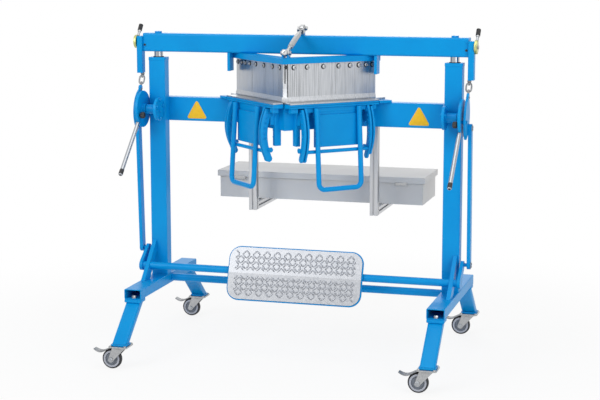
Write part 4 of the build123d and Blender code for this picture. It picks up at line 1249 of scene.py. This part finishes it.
def loop(centre, across_way, along_way, half_wide, half_high, radius, rows=40, columns=10):
    """A tube round a closed superellipse: its points are the sines and cosines raised to the power 0.7, with their
    signs kept."""
    turn = np.linspace(0, 2 * np.pi, rows + 1)
    wide, high = (np.sign(wave) * np.abs(wave) ** 0.7 for wave in (np.cos(turn), np.sin(turn)))
    path = centre + wide[:, None] * half_wide * across_way + high[:, None] * half_high * along_way
    ahead = np.roll(path[:-1], -1, axis=0) - np.roll(path[:-1], 1, axis=0)
    ahead = np.concatenate([ahead, ahead[:1]])
    ahead /= np.linalg.norm(ahead, axis=1, keepdims=True)
    normal = np.cross(across_way, along_way)
    aside = np.cross(ahead, normal)
    angle = circle(columns)[..., None]
    return path[:, None] + radius * (np.cos(angle) * aside[:, None] + np.sin(angle) * normal)


def ball(centre, radius, steps=9):
    """A sphere about an upright axis, as a turned half circle."""
    fall = np.linspace(0, np.pi, steps)
    return turned([(radius * math.sin(turn), radius * math.cos(turn), 0) for turn in fall], centre, up_way, 24)


def rod_between(first, last, radius):
    """A round rod of 16 columns between two points, with flat ends."""
    length = np.linalg.norm(last - first)
    return turned([(0, 0, 0), (radius, 0, 0), (radius, length, 0), (0, length, 0)], first, last - first, 16)


for name, side in sides.items():
    low_z, high_z = corners["turnbuckles"][:, 2]
    shaft_y = pivot[f"crank_turn_{name}"][1]
    x = middle_x + side * turnbuckle_x
    low = np.array((x, shaft_y + turnbuckle_low[0], low_z + turnbuckle_low[1]))
    high = np.array((x, shaft_y + turnbuckle_high, high_z))
    along = (high - low) / np.linalg.norm(high - low)
    middle = low + (high - low) * loop_share
    frame_ring = loop(middle, outward(1), along, *loop_half, loop_wire)
    rods = [rod_between(low, middle - along * rod_inset, rod_radius)]
    rods.append(rod_between(middle + along * rod_inset, high, rod_radius))
    eyes = [ball(low, 8.5), ball(high - along * 5, 9)]
    for label, grids in (("ring", frame_ring), ("rods", rods), ("eyes", eyes)):
        plated(f"turnbuckle_{label}_{name}", grids, "clamp", "turnbuckles", metal=dull_zinc)

# %% [markdown]
# ## Weld beads
# Where a column stands on its base tube, a bead of paint-covered weld fills the corner. It is a tube along a
# closed outline, and its radius swells and sinks every 4 mm as the welder's puddles did.

# %% Weld beads
bead_radius = 2.2
puddle = 4
column_half = (38, 27)


def rectangle_path(centre, half_x, half_y, spacing=1.305):
    """Points round a level rectangle, evenly spaced along its four sides, and their travel along it."""
    corner_points = np.array(((-1, -1), (1, -1), (1, 1), (-1, 1), (-1, -1)), float) * (half_x, half_y)
    lengths = np.linalg.norm(np.diff(corner_points, axis=0), axis=1)
    travel = np.concatenate(([0], np.cumsum(lengths)))
    at = np.linspace(0, travel[-1], int(travel[-1] / spacing), endpoint=False)
    x, y = (np.interp(at, travel, values) for values in corner_points.T)
    return np.stack([centre[0] + x, centre[1] + y, centre[2] + 0 * x], axis=-1), at


def bead(path, at, columns=6):
    """Sections along a closed level path; the radius is the bead's times 0.9, plus an eighth of a cosine of the
    travel over the puddle's length."""
    ahead = np.roll(path, -1, axis=0) - np.roll(path, 1, axis=0)
    ahead /= np.linalg.norm(ahead, axis=1, keepdims=True)
    aside = np.cross(ahead, up_way)
    above = np.cross(aside, ahead)
    radius = bead_radius * (0.9 + 0.12 * np.cos(at / puddle * 2 * np.pi))[:, None, None]
    angle = circle(columns)[..., None]
    grid = path[:, None] + radius * (np.cos(angle) * aside[:, None] + np.sin(angle) * above[:, None])
    return np.concatenate([grid, grid[:1]])


for name, top in column_top.items():
    foot = (top[0], top[1], corners[f"base_{name}"][1, 2])
    painted(f"column_bead_{name}", bead(*rectangle_path(foot, *column_half)), "stand")

# %% [markdown]
# ## Latches of the tool box
# The box is folded from sheet and closed by two draw latches. Each is a bright plate with a rolled lip, pulled over
# the front of the lid.

# %% Tool box latches
lid_low = corners["box_lid"][0]
latch_x = 386
latch_half = (27, 7)
latch_depth = 3
latch_rise = 9
half_wide, half_high, at = box_rows(*latch_half, latch_depth, 0.8)
a, b = sections(half_wide, half_high, 3)
latch = np.stack([a, -at[:, None] + 0 * a, b], axis=-1)
latch_places = [(middle_x + side * latch_x, lid_low[1], lid_low[2] + latch_rise) for side in sides.values()]
plated("box_latches", copies(latch, latch_places), "lid")

# %% [markdown]
# ## Camera
# The photograph was taken from the machine's right front, from 1.8 m up and about 6.6 m away. The camera stands
# there, turned 15.9 degrees to the left and 9.4 degrees down, with the lens that frames the machine in 600 by 400.

# %% Camera
camera_place = (1.8233, -6.4314, 1.7899)
camera_turn = math.radians(15.912)
camera_down = math.radians(9.363)
focal_pixels = 1513.4
image_width = 600
camera_data = bpy.data.cameras.new("camera")
camera_data.sensor_width = 36.0
camera_data.lens = focal_pixels * camera_data.sensor_width / image_width
camera = bpy.data.objects.new("camera", camera_data)
camera.location = camera_place
camera.rotation_euler = (math.pi / 2 - camera_down, 0, camera_turn)
bpy.context.scene.collection.objects.link(camera)
bpy.context.scene.camera = camera
print("lens", round(camera_data.lens, 1), "mm")

# %% [markdown]
# ## Floor, light and background
# A photographer would stand this machine on white paper between large soft boxes. The floor is a pale sheet that
# shows white to the camera but keeps the machine's soft shadow. The world is white to the eye and in reflections,
# and plain grey as a source of light.

# %% Floor and light
floor_half = 30.0
floor_drop = 0.5 * mm


def either(tree, first, second):
    """The larger of two values of a Light Path node, so 1 where either kind of ray arrives."""
    return add(tree, "Math", {0: first, 1: second}, operation="MAXIMUM").outputs["Value"]


def floor_paper():
    """White paper that glows for the camera and in reflections, and less so within 2.6 m of the machine's middle."""
    material, tree, place = start("white_paper")
    colour = ramp(tree, noise(tree, place, 0.025, 2.0), 0.0, "#f4f4f4", 1.0, "#fafafa")
    matt = add(tree, "BsdfDiffuse", {"Color": colour})
    glow = add(tree, "Emission", {"Color": (1, 1, 1, 1), "Strength": 1.0})
    rays = add(tree, "LightPath").outputs
    far = add(tree, "VectorMath", {0: place}, operation="LENGTH").outputs["Value"]
    reach = {"Value": far, "From Min": 1.0, "From Max": 2.6, "To Min": 0.86, "To Max": 1.0}
    white = add(tree, "MapRange", reach, interpolation_type="SMOOTHSTEP").outputs["Result"]
    seen = either(tree, rays["Is Camera Ray"], rays["Is Glossy Ray"])
    share = add(tree, "Math", {0: seen, 1: white}, operation="MULTIPLY").outputs["Value"]
    mix = add(tree, "MixShader", {0: share, 1: matt.outputs["BSDF"], 2: glow.outputs["Emission"]})
    add(tree, "OutputMaterial", {"Surface": mix.outputs["Shader"]})
    return material


floor_mesh = bpy.data.meshes.new("floor")
floor_corners = [(x * floor_half, y * floor_half, -floor_drop) for x, y in ((-1, -1), (1, -1), (1, 1), (-1, 1))]
floor_mesh.from_pydata(floor_corners, [], [(0, 1, 2, 3)])
floor_mesh.materials.append(floor_paper())
floor = bpy.data.objects.new("floor", floor_mesh)
bpy.context.scene.collection.objects.link(floor)


def soft_box(name, place, aim, size, power):
    """A square area lamp that looks at a point."""
    lamp = bpy.data.lights.new(name, "AREA")
    lamp.energy = power
    lamp.size = size
    holder = bpy.data.objects.new(name, lamp)
    holder.location = place
    holder.rotation_euler = (Vector(aim) - Vector(place)).to_track_quat("-Z", "Y").to_euler()
    bpy.context.scene.collection.objects.link(holder)


aim = (0.0, 0.0, 0.8)
soft_box("key", (-2.6, -4.2, 3.6), aim, 2.6, 95)
soft_box("fill", (3.8, -3.4, 2.4), aim, 3.0, 80)
soft_box("top", (0.3, -0.6, 4.6), aim, 3.0, 34)
soft_box("back", (-1.0, 4.4, 3.0), aim, 3.0, 35)

world = bpy.data.worlds.new("studio")
bpy.context.scene.world = world
world.use_nodes = True
tree = world.node_tree
tree.nodes.clear()
rays = add(tree, "LightPath").outputs
seen = either(tree, either(tree, rays["Is Camera Ray"], rays["Is Glossy Ray"]), rays["Is Transmission Ray"])
plain, white = (add(tree, "Background", {"Color": (1, 1, 1, 1), "Strength": power}) for power in (0.42, 1.0))
mixed = add(tree, "MixShader", {0: seen, 1: plain.outputs["Background"], 2: white.outputs["Background"]})
add(tree, "OutputWorld", {"Surface": mixed.outputs["Shader"]})
bpy.context.scene.view_settings.view_transform = "Standard"
print("four soft boxes and a white world")
